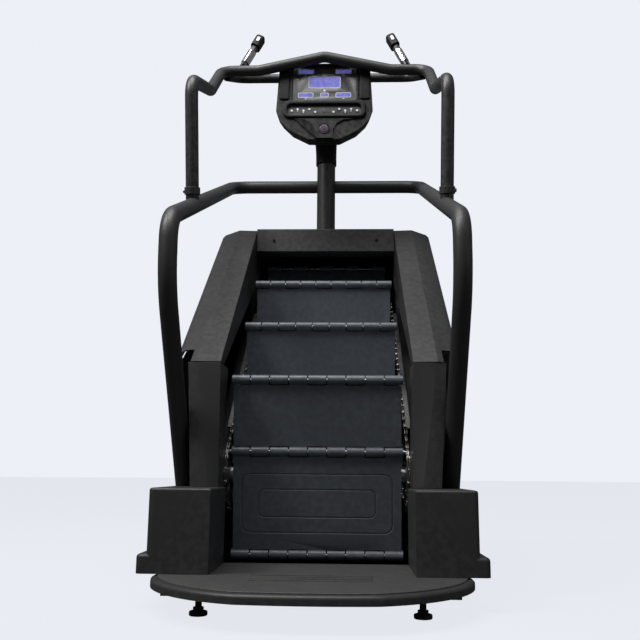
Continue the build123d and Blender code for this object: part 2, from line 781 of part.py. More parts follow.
with BuildPart() as inlet:
    with BuildSketch(Plane.XZ.offset(-farEndY - noseY)):
        with Locations((-250, 160)):
            Rectangle(46, 30)
    extrude(amount=28)
    with BuildSketch(Plane.XZ.offset(-farEndY - noseY)):
        with Locations((-250, 160)):
            RectangleRounded(27, 19, 3)
    extrude(amount=20, mode=Mode.SUBTRACT)
    with BuildSketch(Plane.XZ.offset(-farEndY - noseY + 20)):
        with Locations((-257, 158), (-250, 163), (-243, 158)):
            Rectangle(2.2, 5)
    extrude(amount=-14)
save(inlet.part, "power_inlet")


def base_box():
    """Right rear base cover: rounded box with a stepped flange, open below."""
    plan = [(boxInner, boxFrontY), (boxOuter, boxFrontY), (boxOuter, boxBackY), (328, boxBackY),
            (328, 66), (274, 66), (274, -12), (boxInner, -12)]
    wall = coverWall
    inner = [(boxInner + wall, boxFrontY + wall), (boxOuter - wall, boxFrontY + wall),
             (boxOuter - wall, boxBackY - wall), (328 + wall, boxBackY - wall), (328 + wall, 66 - wall),
             (274 + wall, 66 - wall), (274 + wall, -12 - wall), (boxInner + wall, -12 - wall)]
    with BuildPart() as box:
        with BuildSketch(Plane.XY.offset(skirtLow)):
            Polygon(*[(x, y + noseY) for x, y in plan], align=None)
        extrude(amount=boxTop - skirtLow)
        fillet(box.edges().filter_by(Axis.Z).group_by(Axis.X)[-1], 14)
        fillet(box.edges().group_by(Axis.Z)[-1], 7)
        with BuildSketch(Plane.XY.offset(skirtLow)):
            with Locations(((345 + boxFlange) / 2, (boxFrontY + boxBackY) / 2 + noseY)):
                Rectangle(boxFlange - 345, boxBackY - boxFrontY)
        extrude(amount=flangeTop - skirtLow)
        fillet(box.edges().filter_by(Axis.Z).group_by(Axis.X)[-1], 14)
        fillet(box.edges().group_by(Axis.X)[-1].sort_by(Axis.Z)[-1], 10)
        with BuildSketch(Plane.XY.offset(skirtLow)):
            Polygon(*[(x, y + noseY) for x, y in inner], align=None)
        extrude(amount=boxTop - skirtLow - wall, mode=Mode.SUBTRACT)
        with BuildSketch(Plane.XY.offset(skirtLow)):
            with Locations(((370 + boxFlange - wall) / 2, (boxFrontY + boxBackY) / 2 + noseY)):
                Rectangle(boxFlange - wall - 370, boxBackY - boxFrontY - 2 * wall)
        extrude(amount=flangeTop - skirtLow - wall, mode=Mode.SUBTRACT)
        lean = Vector(0, -362, 560).normalized()
        with BuildSketch(Plane(origin=(railHalf, 37.4 + noseY, boxTop), x_dir=(1, 0, 0), z_dir=lean)):
            Circle(railRadius + 2)
        extrude(amount=60, both=True, mode=Mode.SUBTRACT)
    return box.part


rightBox = base_box()
save(rightBox, "base_box_right")
save(mirrored(rightBox), "base_box_left")


# ---- Handrails ---------------------------------------------------------

def at(x, y, z):
    return Vector(x, y + noseY, z)


def tube(points, radii, radius):
    """Bent round tube with open ends through the given points."""
    with BuildPart() as bent:
        with BuildLine() as path:
            FilletPolyline(*points, radius=radii)
        with BuildSketch(Plane(origin=path.line @ 0, z_dir=path.line % 0)):
            Circle(radius)
            Circle(radius - tubeWall, mode=Mode.SUBTRACT)
        sweep(path=path.line)
    return bent.part


def solid_tube(points, radii, radius):
    """The same run as a solid bar, for cutting a saddle."""
    with BuildPart() as bent:
        with BuildLine() as path:
            FilletPolyline(*points, radius=radii)
        with BuildSketch(Plane(origin=path.line @ 0, z_dir=path.line % 0)):
            Circle(radius)
        sweep(path=path.line)
    return bent.part


rightRail = [at(railHalf, 62, railHigh), at(railHalf, 62, 255), at(railHalf, -300, 815), at(railHalf, -306, 994),
             at(railHalf, crossbarY, crossbarZ)]
leftRail = [at(-p.X, p.Y - noseY, p.Z) for p in rightRail]
railPoints = rightRail + leftRail[::-1]
railRadii = [160, 300, 90, 75, 75, 90, 300, 160]
save(tube(railPoints, railRadii, railRadius), "lower_handrail")
railBar = solid_tube(railPoints, railRadii, railRadius)

upperRight = [at(upperHalf, -2, 1142), at(upperHalf, -92, 1502), at(upperHalf, 225, 1632),
              at(upperHalf, 440, 1822), at(250, 440, 1822), at(0, 440, 1878)]
upperPoints = upperRight + [at(-p.X, p.Y - noseY, p.Z) for p in upperRight[-2::-1]]
upperRadii = [60, 70, 55, 70, 60, 70, 55, 70, 60]
upperLoop = tube(upperPoints, upperRadii, gripRailRadius) - railBar
save(upperLoop, "upper_handrail")
upperBar = solid_tube(upperPoints, upperRadii, gripRailRadius)

rearBarY, rearBarZ = 545.0, 1846.0
rearPoints = [at(372, 452, 1806), at(330, rearBarY, rearBarZ), at(-330, rearBarY, rearBarZ), at(-372, 452, 1806)]
rearBar = tube(rearPoints, [50, 50], rearBarRadius) - upperBar
save(rearBar, "rear_crossbar")

mastTop = 1620.0
with BuildPart() as mast:
    with BuildSketch(Plane.XY.offset(topTubeHigh)):
        with Locations((0, mastY + noseY)):
            RectangleRounded(150, 66, 12)
    extrude(amount=8)
    with BuildSketch(Plane.XY.offset(topTubeHigh)):
        with Locations((0, mastY + noseY)):
            Circle(mastRadius)
    extrude(amount=mastTop - topTubeHigh)
    with BuildSketch(Plane.XY.offset(topTubeHigh)):
        with Locations((0, mastY + noseY)):
            Circle(mastRadius - 3)
    extrude(amount=mastTop - topTubeHigh, mode=Mode.SUBTRACT)
save(mast.part - railBar, "mast")


# ---- Console -----------------------------------------------------------

consoleTilt = 6.5
consoleY = 452.0
consoleZ = 1715.0
consoleDepth = 62.0
tiltRadians = radians(consoleTilt)
consoleFace = Plane(origin=(0, consoleY + noseY, consoleZ), x_dir=(1, 0, 0),
                    z_dir=(0, -cos(tiltRadians), sin(tiltRadians)))
bezelDepth = 10.0
clampX, clampWidth, clampWall = 110.0, 34.0, 7.0
screenHalf = 121.0
screenLow, screenHigh = -12.0, 142.0


def console_outline(inset):
    right = [(60, -176), (126, -140), (166, -98), (181, -52), (178, 20), (172, 146)]
    points = right + [(-x, v) for x, v in right[::-1]]
    with BuildLine() as line:
        FilletPolyline(*points, radius=12, close=True)
    face = make_face(line.line.edges(), mode=Mode.PRIVATE)
    return offset(face, amount=-inset, mode=Mode.PRIVATE) if inset else face


with BuildPart() as consoleShell:
    with BuildSketch(consoleFace.offset(-bezelDepth)):
        add(console_outline(0))
    extrude(amount=-(consoleDepth - bezelDepth), taper=14)
    with BuildSketch(consoleFace.offset(-bezelDepth)):
        add(console_outline(4))
    extrude(amount=-(consoleDepth - bezelDepth - 5), taper=14, mode=Mode.SUBTRACT)
    for x in (-clampX, clampX):
        with BuildSketch(side_plane(x - clampWidth / 2, rearBarY, rearBarZ)):
            Circle(rearBarRadius + clampWall)
            with Locations(Location((-30, 0), 0)):
                Rectangle(60, 2 * clampWall + 20)
        extrude(amount=clampWidth)
    with BuildSketch(consoleFace.offset(-bezelDepth)):
        add(console_outline(4))
    extrude(amount=-(consoleDepth - bezelDepth - 5), taper=14, mode=Mode.SUBTRACT)
saddle = solid_tube(rearPoints, [50, 50], rearBarRadius)
shellPart = consoleShell.part - saddle
shellPart = max(shellPart.solids(), key=lambda s: s.volume)
save(shellPart, "console_rear_shell")

buttonRadius = 17.0
buttonV = -132.0
keypadV = -52.0
with BuildPart() as bezel:
    with BuildSketch(consoleFace.offset(-bezelDepth)):
        add(console_outline(0))
    extrude(amount=bezelDepth - 2)
    with BuildSketch(consoleFace.offset(-2)):
        add(console_outline(3))
    extrude(amount=2)
    with BuildSketch(consoleFace):
        with Locations((0, (screenLow + screenHigh) / 2)):
            RectangleRounded(2 * screenHalf, screenHigh - screenLow, 8)
        with Locations((0, keypadV)):
            RectangleRounded(276, 46, 16)
    extrude(amount=-4, mode=Mode.SUBTRACT)
    with BuildSketch(consoleFace.offset(-bezelDepth)):
        with Locations((0, buttonV)):
            Circle(buttonRadius + 0.4)
    extrude(amount=bezelDepth, mode=Mode.SUBTRACT)
    with BuildSketch(consoleFace):
        with Locations((0, buttonV)):
            Circle(buttonRadius + 8)
            Circle(buttonRadius + 4.5, mode=Mode.SUBTRACT)
    extrude(amount=2)
save(bezel.part, "console_bezel")

with BuildPart() as screenPanel:
    with BuildSketch(consoleFace.offset(-4)):
        with Locations((0, (screenLow + screenHigh) / 2)):
            RectangleRounded(2 * screenHalf - 1, screenHigh - screenLow - 1, 7.5)
    extrude(amount=3)
    with BuildSketch(consoleFace.offset(-1)):
        with Locations((0, 70)):
            Rectangle(116, 46)
        with Locations((-71, 117), (71, 117)):
            Rectangle(56, 15)
        with Locations((-71, 14), (71, 14)):
            Rectangle(52, 15)
        with Locations((0, 14)):
            Rectangle(26, 13)
    extrude(amount=-1.5, mode=Mode.SUBTRACT)
save(screenPanel.part, "display_panel")

with BuildPart() as windows:
    with BuildSketch(consoleFace.offset(-2.5)):
        with Locations((0, 70)):
            Rectangle(115, 45)
        with Locations((-71, 117), (71, 117)):
            Rectangle(55, 14)
        with Locations((-71, 14), (71, 14)):
            Rectangle(51, 14)
        with Locations((0, 14)):
            Rectangle(25, 12)
    extrude(amount=1.4)
save(group(windows.part.solids()), "display_windows")

with BuildPart() as keypad:
    with BuildSketch(consoleFace.offset(-4)):
        with Locations((0, keypadV)):
            RectangleRounded(275, 45, 15.5)
    extrude(amount=2.5)
    with BuildSketch(consoleFace.offset(-1.5)):
        for side in (-1, 1):
            for column in range(5):
                with Locations((side * (34 + column * 22), keypadV + (5 if column % 2 else -5))):
                    RectangleRounded(15, 10, 4)
        with Locations((0, keypadV)):
            Circle(8)
    extrude(amount=1.5)
save(keypad.part, "keypad")

buttonTravel = 3.0
with BuildPart() as stopButton:
    with BuildSketch(consoleFace.offset(-bezelDepth + buttonTravel + 2.5)):
        with Locations((0, buttonV)):
            Circle(buttonRadius)
    extrude(amount=bezelDepth - buttonTravel - 2.5 + 6)
    fillet(stopButton.faces().sort_by(Axis((0, 0, 0), consoleFace.z_dir))[-1].edges(), 2.5)
save(stopButton.part, "stop_button")

neckLow = 1580.0
neckStart = Plane(origin=(0, mastY + noseY, neckLow), x_dir=(1, 0, 0), z_dir=(0, 0, 1))
neckBend = Plane(origin=(0, 750 + noseY, 1646), x_dir=(1, 0, 0), z_dir=(0, -0.66, 0.75))
neckArm = Plane(origin=(0, 650 + noseY, 1682), x_dir=(1, 0, 0), z_dir=(0, -0.99, 0.12))
neckEnd = consoleFace.offset(-consoleDepth - 0.3)
neckEndV = -70.0
with BuildPart() as neck:
    with BuildSketch(neckStart):
        RectangleRounded(84, 84, 40)
    with BuildSketch(neckBend):
        RectangleRounded(86, 92, 38)
    with BuildSketch(neckArm):
        RectangleRounded(108, 104, 38)
    with BuildSketch(neckEnd):
        with Locations((0, neckEndV)):
            RectangleRounded(200, 150, 44)
    loft()
    with BuildSketch(Plane.XY.offset(neckLow - 1)):
        with Locations((0, mastY + noseY)):
            Circle(mastRadius)
    extrude(amount=mastTop - neckLow + 1, mode=Mode.SUBTRACT)
neckPart = neck.part - railBar
save(max(neckPart.solids(), key=lambda s: s.volume), "neck_sleeve")


# ---- Hand grips --------------------------------------------------------

gripRadius = 14.0
gripStart = at(313, 446, 1836)
gripEnd = at(259, 482, 1962)
gripAxis = (gripEnd - gripStart).normalized()
gripLength = (gripEnd - gripStart).length
headLength = 54.0
plateStart, plateLength = 26.0, 62.0


def grip_plane(distance):
    start = gripStart + gripAxis * distance
    return Plane(origin=start, x_dir=Vector(0, 1, 0).cross(gripAxis), z_dir=gripAxis)


def grip():
    with BuildPart() as stem:
        with BuildSketch(grip_plane(0)):
            Circle(gripRadius)
        extrude(amount=gripLength - headLength / 2)
    return stem.part - upperBar


def grip_plate():
    with BuildPart() as plates:
        with BuildSketch(grip_plane(plateStart)):
            Circle(gripRadius + 2)
            Circle(gripRadius, mode=Mode.SUBTRACT)
            Rectangle(3, 60, mode=Mode.SUBTRACT)
        extrude(amount=plateLength)
    return plates.part


def grip_head():
    with BuildPart() as head:
        with BuildSketch(grip_plane(gripLength - headLength / 2)):
            RectangleRounded(36, 42, 12)
        extrude(amount=headLength)
        fillet(head.faces().sort_by(Axis((0, 0, 0), gripAxis))[-1].edges(), 7)
        with BuildSketch(Plane(origin=gripEnd, x_dir=gripAxis, z_dir=buttonNormal)):
            SlotOverall(24.8, 12.8)
        extrude(amount=40, mode=Mode.SUBTRACT)
    return head.part


buttonNormal = Vector(0, -1, 0) - gripAxis * Vector(0, -1, 0).dot(gripAxis)
buttonNormal = buttonNormal.normalized()


def thumb_button():
    with BuildPart() as button:
        with BuildSketch(Plane(origin=gripEnd + buttonNormal * 4, x_dir=gripAxis, z_dir=buttonNormal)):
            SlotOverall(24, 12)
        extrude(amount=19.5)
    return button.part


rightGrip, rightPlate, rightHead, rightButton = grip(), grip_plate(), grip_head(), thumb_button()
save(group([rightGrip, mirrored(rightGrip)]), "hand_grips")
save(group(rightPlate.solids() + mirrored(rightPlate).solids()), "pulse_plates")
save(group([rightHead, mirrored(rightHead)]), "grip_heads")
save(rightButton, "thumb_button_right")
save(mirrored(rightButton), "thumb_button_left")


def rail_collar():
    """Clamp collar where the upper loop stands on the lower rail, with its bolt head."""
    foot = at(upperHalf, -2, 1142)
    up = (upperRight[1] - upperRight[0]).normalized()
    with BuildPart() as collar:
        with BuildSketch(Plane(origin=foot + up * 24, z_dir=up)):
            Circle(gripRailRadius + 4)
            Circle(gripRailRadius, mode=Mode.SUBTRACT)
        extrude(amount=22)
    return collar.part - railBar


rightCollar = rail_collar()
save(group([rightCollar, mirrored(rightCollar)]), "rail_collars")
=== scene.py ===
import json
from math import atan2, cos, hypot, pi, radians, sin

import bmesh
import bpy
from mathutils import Matrix, Vector


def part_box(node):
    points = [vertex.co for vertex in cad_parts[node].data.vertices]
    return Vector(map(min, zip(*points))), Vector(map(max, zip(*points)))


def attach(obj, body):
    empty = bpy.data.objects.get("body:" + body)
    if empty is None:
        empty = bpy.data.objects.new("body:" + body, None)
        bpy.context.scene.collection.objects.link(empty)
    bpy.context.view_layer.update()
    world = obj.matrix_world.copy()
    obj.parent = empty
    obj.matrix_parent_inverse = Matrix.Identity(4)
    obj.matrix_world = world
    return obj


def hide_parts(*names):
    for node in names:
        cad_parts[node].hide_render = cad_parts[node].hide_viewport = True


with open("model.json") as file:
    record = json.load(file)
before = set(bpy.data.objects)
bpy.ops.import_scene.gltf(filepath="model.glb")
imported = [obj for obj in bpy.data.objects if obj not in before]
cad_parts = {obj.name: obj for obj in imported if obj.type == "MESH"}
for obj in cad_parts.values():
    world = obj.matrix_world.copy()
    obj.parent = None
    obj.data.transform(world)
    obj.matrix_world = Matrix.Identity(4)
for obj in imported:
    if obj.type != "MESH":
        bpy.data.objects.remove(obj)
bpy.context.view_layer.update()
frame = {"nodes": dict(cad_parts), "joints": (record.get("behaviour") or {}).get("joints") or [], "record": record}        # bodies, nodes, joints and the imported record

nodes = frame["nodes"]
joints = {joint["name"]: joint for joint in frame["joints"]}
slotOf = {row["node"]: row["material_slot"] for row in frame["record"]["subparts"]}
bodyOf = {node: body for body, names in frame["record"]["behaviour"]["bodies"].items() for node in names}
print("frame loaded:", len(nodes), "nodes")


# shader groups that several finishes share
def newGroup(name, inputs, outputs):
    group = bpy.data.node_groups.new(name, "ShaderNodeTree")
    for label, kind, value in inputs:
        socket = group.interface.new_socket(name=label, in_out="INPUT", socket_type=kind)
        if value is not None:
            socket.default_value = value
    for label, kind in outputs:
        group.interface.new_socket(name=label, in_out="OUTPUT", socket_type=kind)
    return group, group.nodes.new("NodeGroupInput"), group.nodes.new("NodeGroupOutput")


def addNode(tree, kind, links=(), **values):
    node = tree.nodes.new(kind)
    for key, value in values.items():
        setattr(node, key, value)
    for socket, source in links:
        if hasattr(source, "is_output"):
            tree.links.new(source, node.inputs[socket])
        else:
            node.inputs[socket].default_value = source
    return node


def mathNode(tree, operation, a, b=0.0, clamp=False):
    node = addNode(tree, "ShaderNodeMath", [(0, a), (1, b)], operation=operation, use_clamp=clamp)
    return node.outputs[0]


def remap(tree, value, low, high, outLow=0.0, outHigh=1.0):
    links = [(0, value), (1, low), (2, high), (3, outLow), (4, outHigh)]
    return addNode(tree, "ShaderNodeMapRange", links).outputs[0]


def mixColour(tree, factor, first, second, blend="MIX"):
    node = addNode(tree, "ShaderNodeMix", [(0, factor), (6, first), (7, second)], data_type="RGBA",
                   blend_type=blend)
    return node.outputs[2]


# fine moulded or sprayed surface: pebbles of two sizes
grainGroup, source, sink = newGroup(
    "surfaceGrain",
    [("Vector", "NodeSocketVector", None), ("Scale", "NodeSocketFloat", 900.0),
     ("Pebbles", "NodeSocketFloat", 0.5)],
    [("Height", "NodeSocketFloat"), ("Speckle", "NodeSocketFloat")])
fine = addNode(grainGroup, "ShaderNodeTexNoise", [("Vector", source.outputs["Vector"]),
                                                  ("Scale", source.outputs["Scale"]), ("Detail", 3.0)])
cellScale = mathNode(grainGroup, "MULTIPLY", source.outputs["Scale"], 0.55)
cells = addNode(grainGroup, "ShaderNodeTexVoronoi",
                [("Vector", source.outputs["Vector"]), ("Scale", cellScale)], feature="F1")
pebble = remap(grainGroup, cells.outputs["Distance"], 0.1, 0.75, 1.0, 0.0)
blended = addNode(grainGroup, "ShaderNodeMix", [(0, source.outputs["Pebbles"]), (2, fine.outputs["Fac"]),
                                                (3, pebble)])
grainGroup.links.new(blended.outputs[0], sink.inputs["Height"])
grainGroup.links.new(remap(grainGroup, fine.outputs["Fac"], 0.56, 0.72), sink.inputs["Speckle"])

# broad uneven patches left by hands, cleaning cloths and shoes
patchGroup, source, sink = newGroup(
    "handledPatches",
    [("Vector", "NodeSocketVector", None), ("Scale", "NodeSocketFloat", 6.0),
     ("Streak", "NodeSocketFloat", 1.0)],
    [("Patch", "NodeSocketFloat"), ("Streaks", "NodeSocketFloat")])
broad = addNode(patchGroup, "ShaderNodeTexNoise",
                [("Vector", source.outputs["Vector"]), ("Scale", source.outputs["Scale"]),
                 ("Detail", 5.0), ("Distortion", 0.6)])
squashed = addNode(patchGroup, "ShaderNodeMapping",
                   [("Vector", source.outputs["Vector"]), ("Scale", (1.0, 1.0, 0.12))])
streakScale = mathNode(patchGroup, "MULTIPLY", source.outputs["Scale"], 9.0)
streak = addNode(patchGroup, "ShaderNodeTexNoise",
                 [("Vector", squashed.outputs[0]), ("Scale", streakScale), ("Detail", 4.0)])
patchGroup.links.new(remap(patchGroup, broad.outputs["Fac"], 0.35, 0.68), sink.inputs["Patch"])
streakMask = mathNode(patchGroup, "MULTIPLY", remap(patchGroup, streak.outputs["Fac"], 0.5, 0.75),
                      source.outputs["Streak"])
patchGroup.links.new(streakMask, sink.inputs["Streaks"])

# paler rubbed edges, broken up so that they are not a drawn line
edgeGroup, source, sink = newGroup(
    "rubbedEdges",
    [("Vector", "NodeSocketVector", None), ("Amount", "NodeSocketFloat", 0.5),
     ("Scale", "NodeSocketFloat", 60.0)],
    [("Mask", "NodeSocketFloat")])
geometry = edgeGroup.nodes.new("ShaderNodeNewGeometry")
convex = remap(edgeGroup, geometry.outputs["Pointiness"], 0.505, 0.58)
broken = addNode(edgeGroup, "ShaderNodeTexNoise",
                 [("Vector", source.outputs["Vector"]), ("Scale", source.outputs["Scale"]),
                  ("Detail", 4.0)])
edgeMask = mathNode(edgeGroup, "MULTIPLY", convex, remap(edgeGroup, broken.outputs["Fac"], 0.4, 0.62))
edgeGroup.links.new(mathNode(edgeGroup, "MULTIPLY", edgeMask, source.outputs["Amount"], True),
                    sink.inputs["Mask"])

# thin dust on what faces up
dustGroup, source, sink = newGroup(
    "settledDust",
    [("Vector", "NodeSocketVector", None), ("Amount", "NodeSocketFloat", 0.2),
     ("Scale", "NodeSocketFloat", 14.0)],
    [("Mask", "NodeSocketFloat")])
geometry = dustGroup.nodes.new("ShaderNodeNewGeometry")
upward = addNode(dustGroup, "ShaderNodeSeparateXYZ", [(0, geometry.outputs["Normal"])])
cloud = addNode(dustGroup, "ShaderNodeTexNoise",
                [("Vector", source.outputs["Vector"]), ("Scale", source.outputs["Scale"]),
                 ("Detail", 6.0)])
dustMask = mathNode(dustGroup, "MULTIPLY", remap(dustGroup, upward.outputs["Z"], 0.35, 0.98),
                    remap(dustGroup, cloud.outputs["Fac"], 0.38, 0.7))
dustGroup.links.new(mathNode(dustGroup, "MULTIPLY", dustMask, source.outputs["Amount"], True),
                    sink.inputs["Mask"])


def placed(tree, group, vector, **values):
    node = addNode(tree, "ShaderNodeGroup", node_tree=group)
    tree.links.new(vector, node.inputs["Vector"])
    for key, value in values.items():
        node.inputs[key].default_value = value
    return node


def colour(values):
    return (values[0], values[1], values[2], 1.0)


def newMaterial(name):
    material = bpy.data.materials.new(name)
    material.use_nodes = True
    tree = material.node_tree
    shader = tree.nodes["Principled BSDF"]
    vector = tree.nodes.new("ShaderNodeTexCoord").outputs["Object"]
    return material, tree, shader, vector


dustTone = (0.12, 0.118, 0.115)


# moulded, painted or bare surface; the look sets its tones, roughness, grain, wear and dust
def surfaceFinish(name, look):
    material, tree, shader, vector = newMaterial(name)
    grain = placed(tree, grainGroup, vector, Scale=look["grain"], Pebbles=look.get("pebbles", 0.5))
    patches = placed(tree, patchGroup, vector, Scale=look.get("patchScale", 5.0),
                     Streak=look.get("streak", 0.6))
    edges = placed(tree, edgeGroup, vector, Amount=look.get("edge", 0.5))
    dust = placed(tree, dustGroup, vector, Amount=look.get("dust", 0.12))
    base = mixColour(tree, patches.outputs["Patch"], colour(look["base"]), colour(look["second"]))
    speckle = mathNode(tree, "MULTIPLY", grain.outputs["Speckle"], look.get("speckle", 0.25))
    speckled = mixColour(tree, speckle, base, colour(look["rubbed"]))
    rubbed = mixColour(tree, edges.outputs["Mask"], speckled, colour(look["rubbed"]))
    dusty = mixColour(tree, dust.outputs["Mask"], rubbed, colour(dustTone))
    tree.links.new(dusty, shader.inputs["Base Color"])
    rough = remap(tree, patches.outputs["Patch"], 0.0, 1.0, look["rough"][0], look["rough"][1])
    streaked = mathNode(tree, "ADD", rough, mathNode(tree, "MULTIPLY", patches.outputs["Streaks"], 0.07))
    polish = mathNode(tree, "MULTIPLY", edges.outputs["Mask"], 0.12)  # rubbed edges shine a little more
    worn = mathNode(tree, "SUBTRACT", streaked, polish, True)
    dulled = mathNode(tree, "ADD", worn, mathNode(tree, "MULTIPLY", dust.outputs["Mask"], 0.3), True)
    tree.links.new(dulled, shader.inputs["Roughness"])
    bump = addNode(tree, "ShaderNodeBump", [("Height", grain.outputs["Height"]),
                                            ("Strength", look.get("bump", 0.35)),
                                            ("Distance", look.get("depth", 0.0004))])
    tree.links.new(bump.outputs[0], shader.inputs["Normal"])
    shader.inputs["Metallic"].default_value = look.get("metallic", 0.0)
    shader.inputs["Specular IOR Level"].default_value = look.get("specular", 0.5)
    shader.inputs["Coat Weight"].default_value = look.get("coat", 0.0)
    shader.inputs["Coat Roughness"].default_value = look.get("coatRough", 0.2)
    return material


finishLooks = {
    "black_frame_steel": dict(base=(0.033, 0.033, 0.034), second=(0.036, 0.036, 0.036),
                              rubbed=(0.11, 0.11, 0.108), rough=(0.4, 0.5), grain=1300.0, pebbles=0.35,
                              speckle=0.3, bump=0.45, depth=0.0004, edge=0.5, dust=0.06),
    "dark_cover_plastic": dict(base=(0.029, 0.029, 0.0285), second=(0.0305, 0.0305, 0.03),
                               rubbed=(0.08, 0.08, 0.078), rough=(0.45, 0.49), grain=1600.0,
                               pebbles=0.75, speckle=0.12, bump=0.3, depth=0.0003, edge=0.5, dust=0.05),
    "grey_panel_plastic": dict(base=(0.048, 0.048, 0.0475), second=(0.051, 0.051, 0.0505),
                               rubbed=(0.12, 0.12, 0.118), rough=(0.5, 0.54), grain=1300.0, pebbles=0.8,
                               speckle=0.2, bump=0.4, depth=0.0004, edge=0.5, dust=0.08, patchScale=3.0),
    "blue_grey_step": dict(base=(0.098, 0.112, 0.130), second=(0.103, 0.118, 0.136),
                           rubbed=(0.17, 0.19, 0.215), rough=(0.37, 0.43), grain=1500.0, pebbles=0.4,
                           speckle=0.18, bump=0.22, depth=0.0003, edge=0.65, dust=0.06, patchScale=2.5,
                           streak=1.0),
    "tread_rubber": dict(base=(0.018, 0.018, 0.018), second=(0.028, 0.028, 0.027),
                         rubbed=(0.07, 0.07, 0.068), rough=(0.62, 0.78), grain=700.0, pebbles=0.5,
                         bump=0.5, depth=0.0005, dust=0.25),
    "belt_rubber": dict(base=(0.016, 0.016, 0.016), second=(0.026, 0.026, 0.026),
                        rubbed=(0.06, 0.06, 0.06), rough=(0.55, 0.7), grain=900.0, bump=0.3),
    "pin_steel": dict(base=(0.46, 0.46, 0.45), second=(0.38, 0.38, 0.38), rubbed=(0.62, 0.62, 0.61),
                      rough=(0.22, 0.34), grain=1200.0, pebbles=0.1, metallic=1.0, bump=0.12, dust=0.05),
    "chain_steel": dict(base=(0.2, 0.19, 0.17), second=(0.1, 0.093, 0.083), rubbed=(0.55, 0.53, 0.5),
                        rough=(0.25, 0.42), grain=900.0, metallic=1.0, bump=0.2, edge=0.8, dust=0.0,
                        patchScale=40.0),
    "zinc_steel": dict(base=(0.42, 0.42, 0.41), second=(0.3, 0.3, 0.29), rubbed=(0.6, 0.6, 0.6),
                       rough=(0.3, 0.45), grain=500.0, pebbles=0.9, metallic=1.0, bump=0.15, dust=0.1),
    "cast_wheel": dict(base=(0.1, 0.1, 0.1), second=(0.13, 0.13, 0.13), rubbed=(0.3, 0.3, 0.3),
                       rough=(0.5, 0.62), grain=600.0, pebbles=0.8, metallic=0.6, bump=0.5,
                       depth=0.0006),
    "aluminium_housing": dict(base=(0.5, 0.51, 0.52), second=(0.42, 0.43, 0.44), rubbed=(0.7, 0.7, 0.7),
                              rough=(0.35, 0.5), grain=700.0, metallic=1.0, bump=0.3),
    "chrome_plate": dict(base=(0.78, 0.79, 0.8), second=(0.72, 0.73, 0.74), rubbed=(0.85, 0.85, 0.85),
                         rough=(0.07, 0.16), grain=900.0, pebbles=0.1, speckle=0.0, metallic=1.0,
                         bump=0.03, dust=0.0, patchScale=40.0),
    "console_black": dict(base=(0.0085, 0.0085, 0.009), second=(0.010, 0.010, 0.010),
                          rubbed=(0.075, 0.075, 0.074), rough=(0.5, 0.56), grain=1800.0,
                          pebbles=0.7, specular=0.2, speckle=0.1, bump=0.22, depth=0.0002, edge=0.4,
                          dust=0.03, patchScale=9.0),
    "display_grey": dict(base=(0.046, 0.046, 0.047), second=(0.049, 0.049, 0.05),
                         rubbed=(0.13, 0.13, 0.13), rough=(0.24, 0.36), grain=2200.0, pebbles=0.2,
                         speckle=0.05, bump=0.08, depth=0.0001, edge=0.3, dust=0.03, patchScale=22.0),
    "key_white": dict(base=(0.034, 0.034, 0.035), second=(0.038, 0.038, 0.038),
                      rubbed=(0.12, 0.12, 0.12), rough=(0.34, 0.45), grain=2200.0, pebbles=0.2,
                      speckle=0.05, bump=0.1, depth=0.0001),
    "button_violet": dict(base=(0.05, 0.022, 0.052), second=(0.07, 0.03, 0.07),
                          rubbed=(0.16, 0.09, 0.16), rough=(0.18, 0.3), grain=1500.0, bump=0.05,
                          coat=0.4, patchScale=60.0),
    "button_white": dict(base=(0.8, 0.81, 0.8), second=(0.7, 0.71, 0.7), rubbed=(0.88, 0.88, 0.87),
                         rough=(0.18, 0.28), grain=1200.0, speckle=0.05, bump=0.05, coat=0.3, edge=0.3,
                         patchScale=60.0),
}
finishes = {name: surfaceFinish(name, look) for name, look in finishLooks.items()}


# backlit window: blue-violet field with a fine grid of lighter cells
def litWindow(name, look):
    material, tree, shader, vector = newMaterial(name)
    place = addNode(tree, "ShaderNodeSeparateXYZ", [(0, vector)])
    column = mathNode(tree, "FRACT", mathNode(tree, "MULTIPLY", place.outputs["X"], look["columns"]))
    row = mathNode(tree, "FRACT", mathNode(tree, "MULTIPLY", place.outputs["Z"], look["rows"]))
    cell = mathNode(tree, "MULTIPLY", mathNode(tree, "GREATER_THAN", column, 0.3),
                    mathNode(tree, "GREATER_THAN", row, 0.34))
    glow = addNode(tree, "ShaderNodeTexNoise", [("Vector", vector), ("Scale", 55.0), ("Detail", 2.0)])
    lit = mathNode(tree, "MULTIPLY", cell, remap(tree, glow.outputs["Fac"], 0.35, 0.6, 0.35, 1.0))
    shown = mixColour(tree, lit, colour(look["field"]), colour(look["cell"]))
    tree.links.new(shown, shader.inputs["Base Color"])
    tree.links.new(shown, shader.inputs["Emission Color"])
    shader.inputs["Emission Strength"].default_value = look["strength"]
    smear = placed(tree, patchGroup, vector, Scale=60.0, Streak=0.4)
    tree.links.new(remap(tree, smear.outputs["Patch"], 0.0, 1.0, 0.08, 0.2), shader.inputs["Roughness"])
    return material


windowLook = dict(field=(0.07, 0.07, 0.36), cell=(0.22, 0.22, 0.56),
                  columns=210.0, rows=190.0, strength=0.62)  # cells per metre
finishes["lcd_blue"] = litWindow("lcd_blue", windowLook)


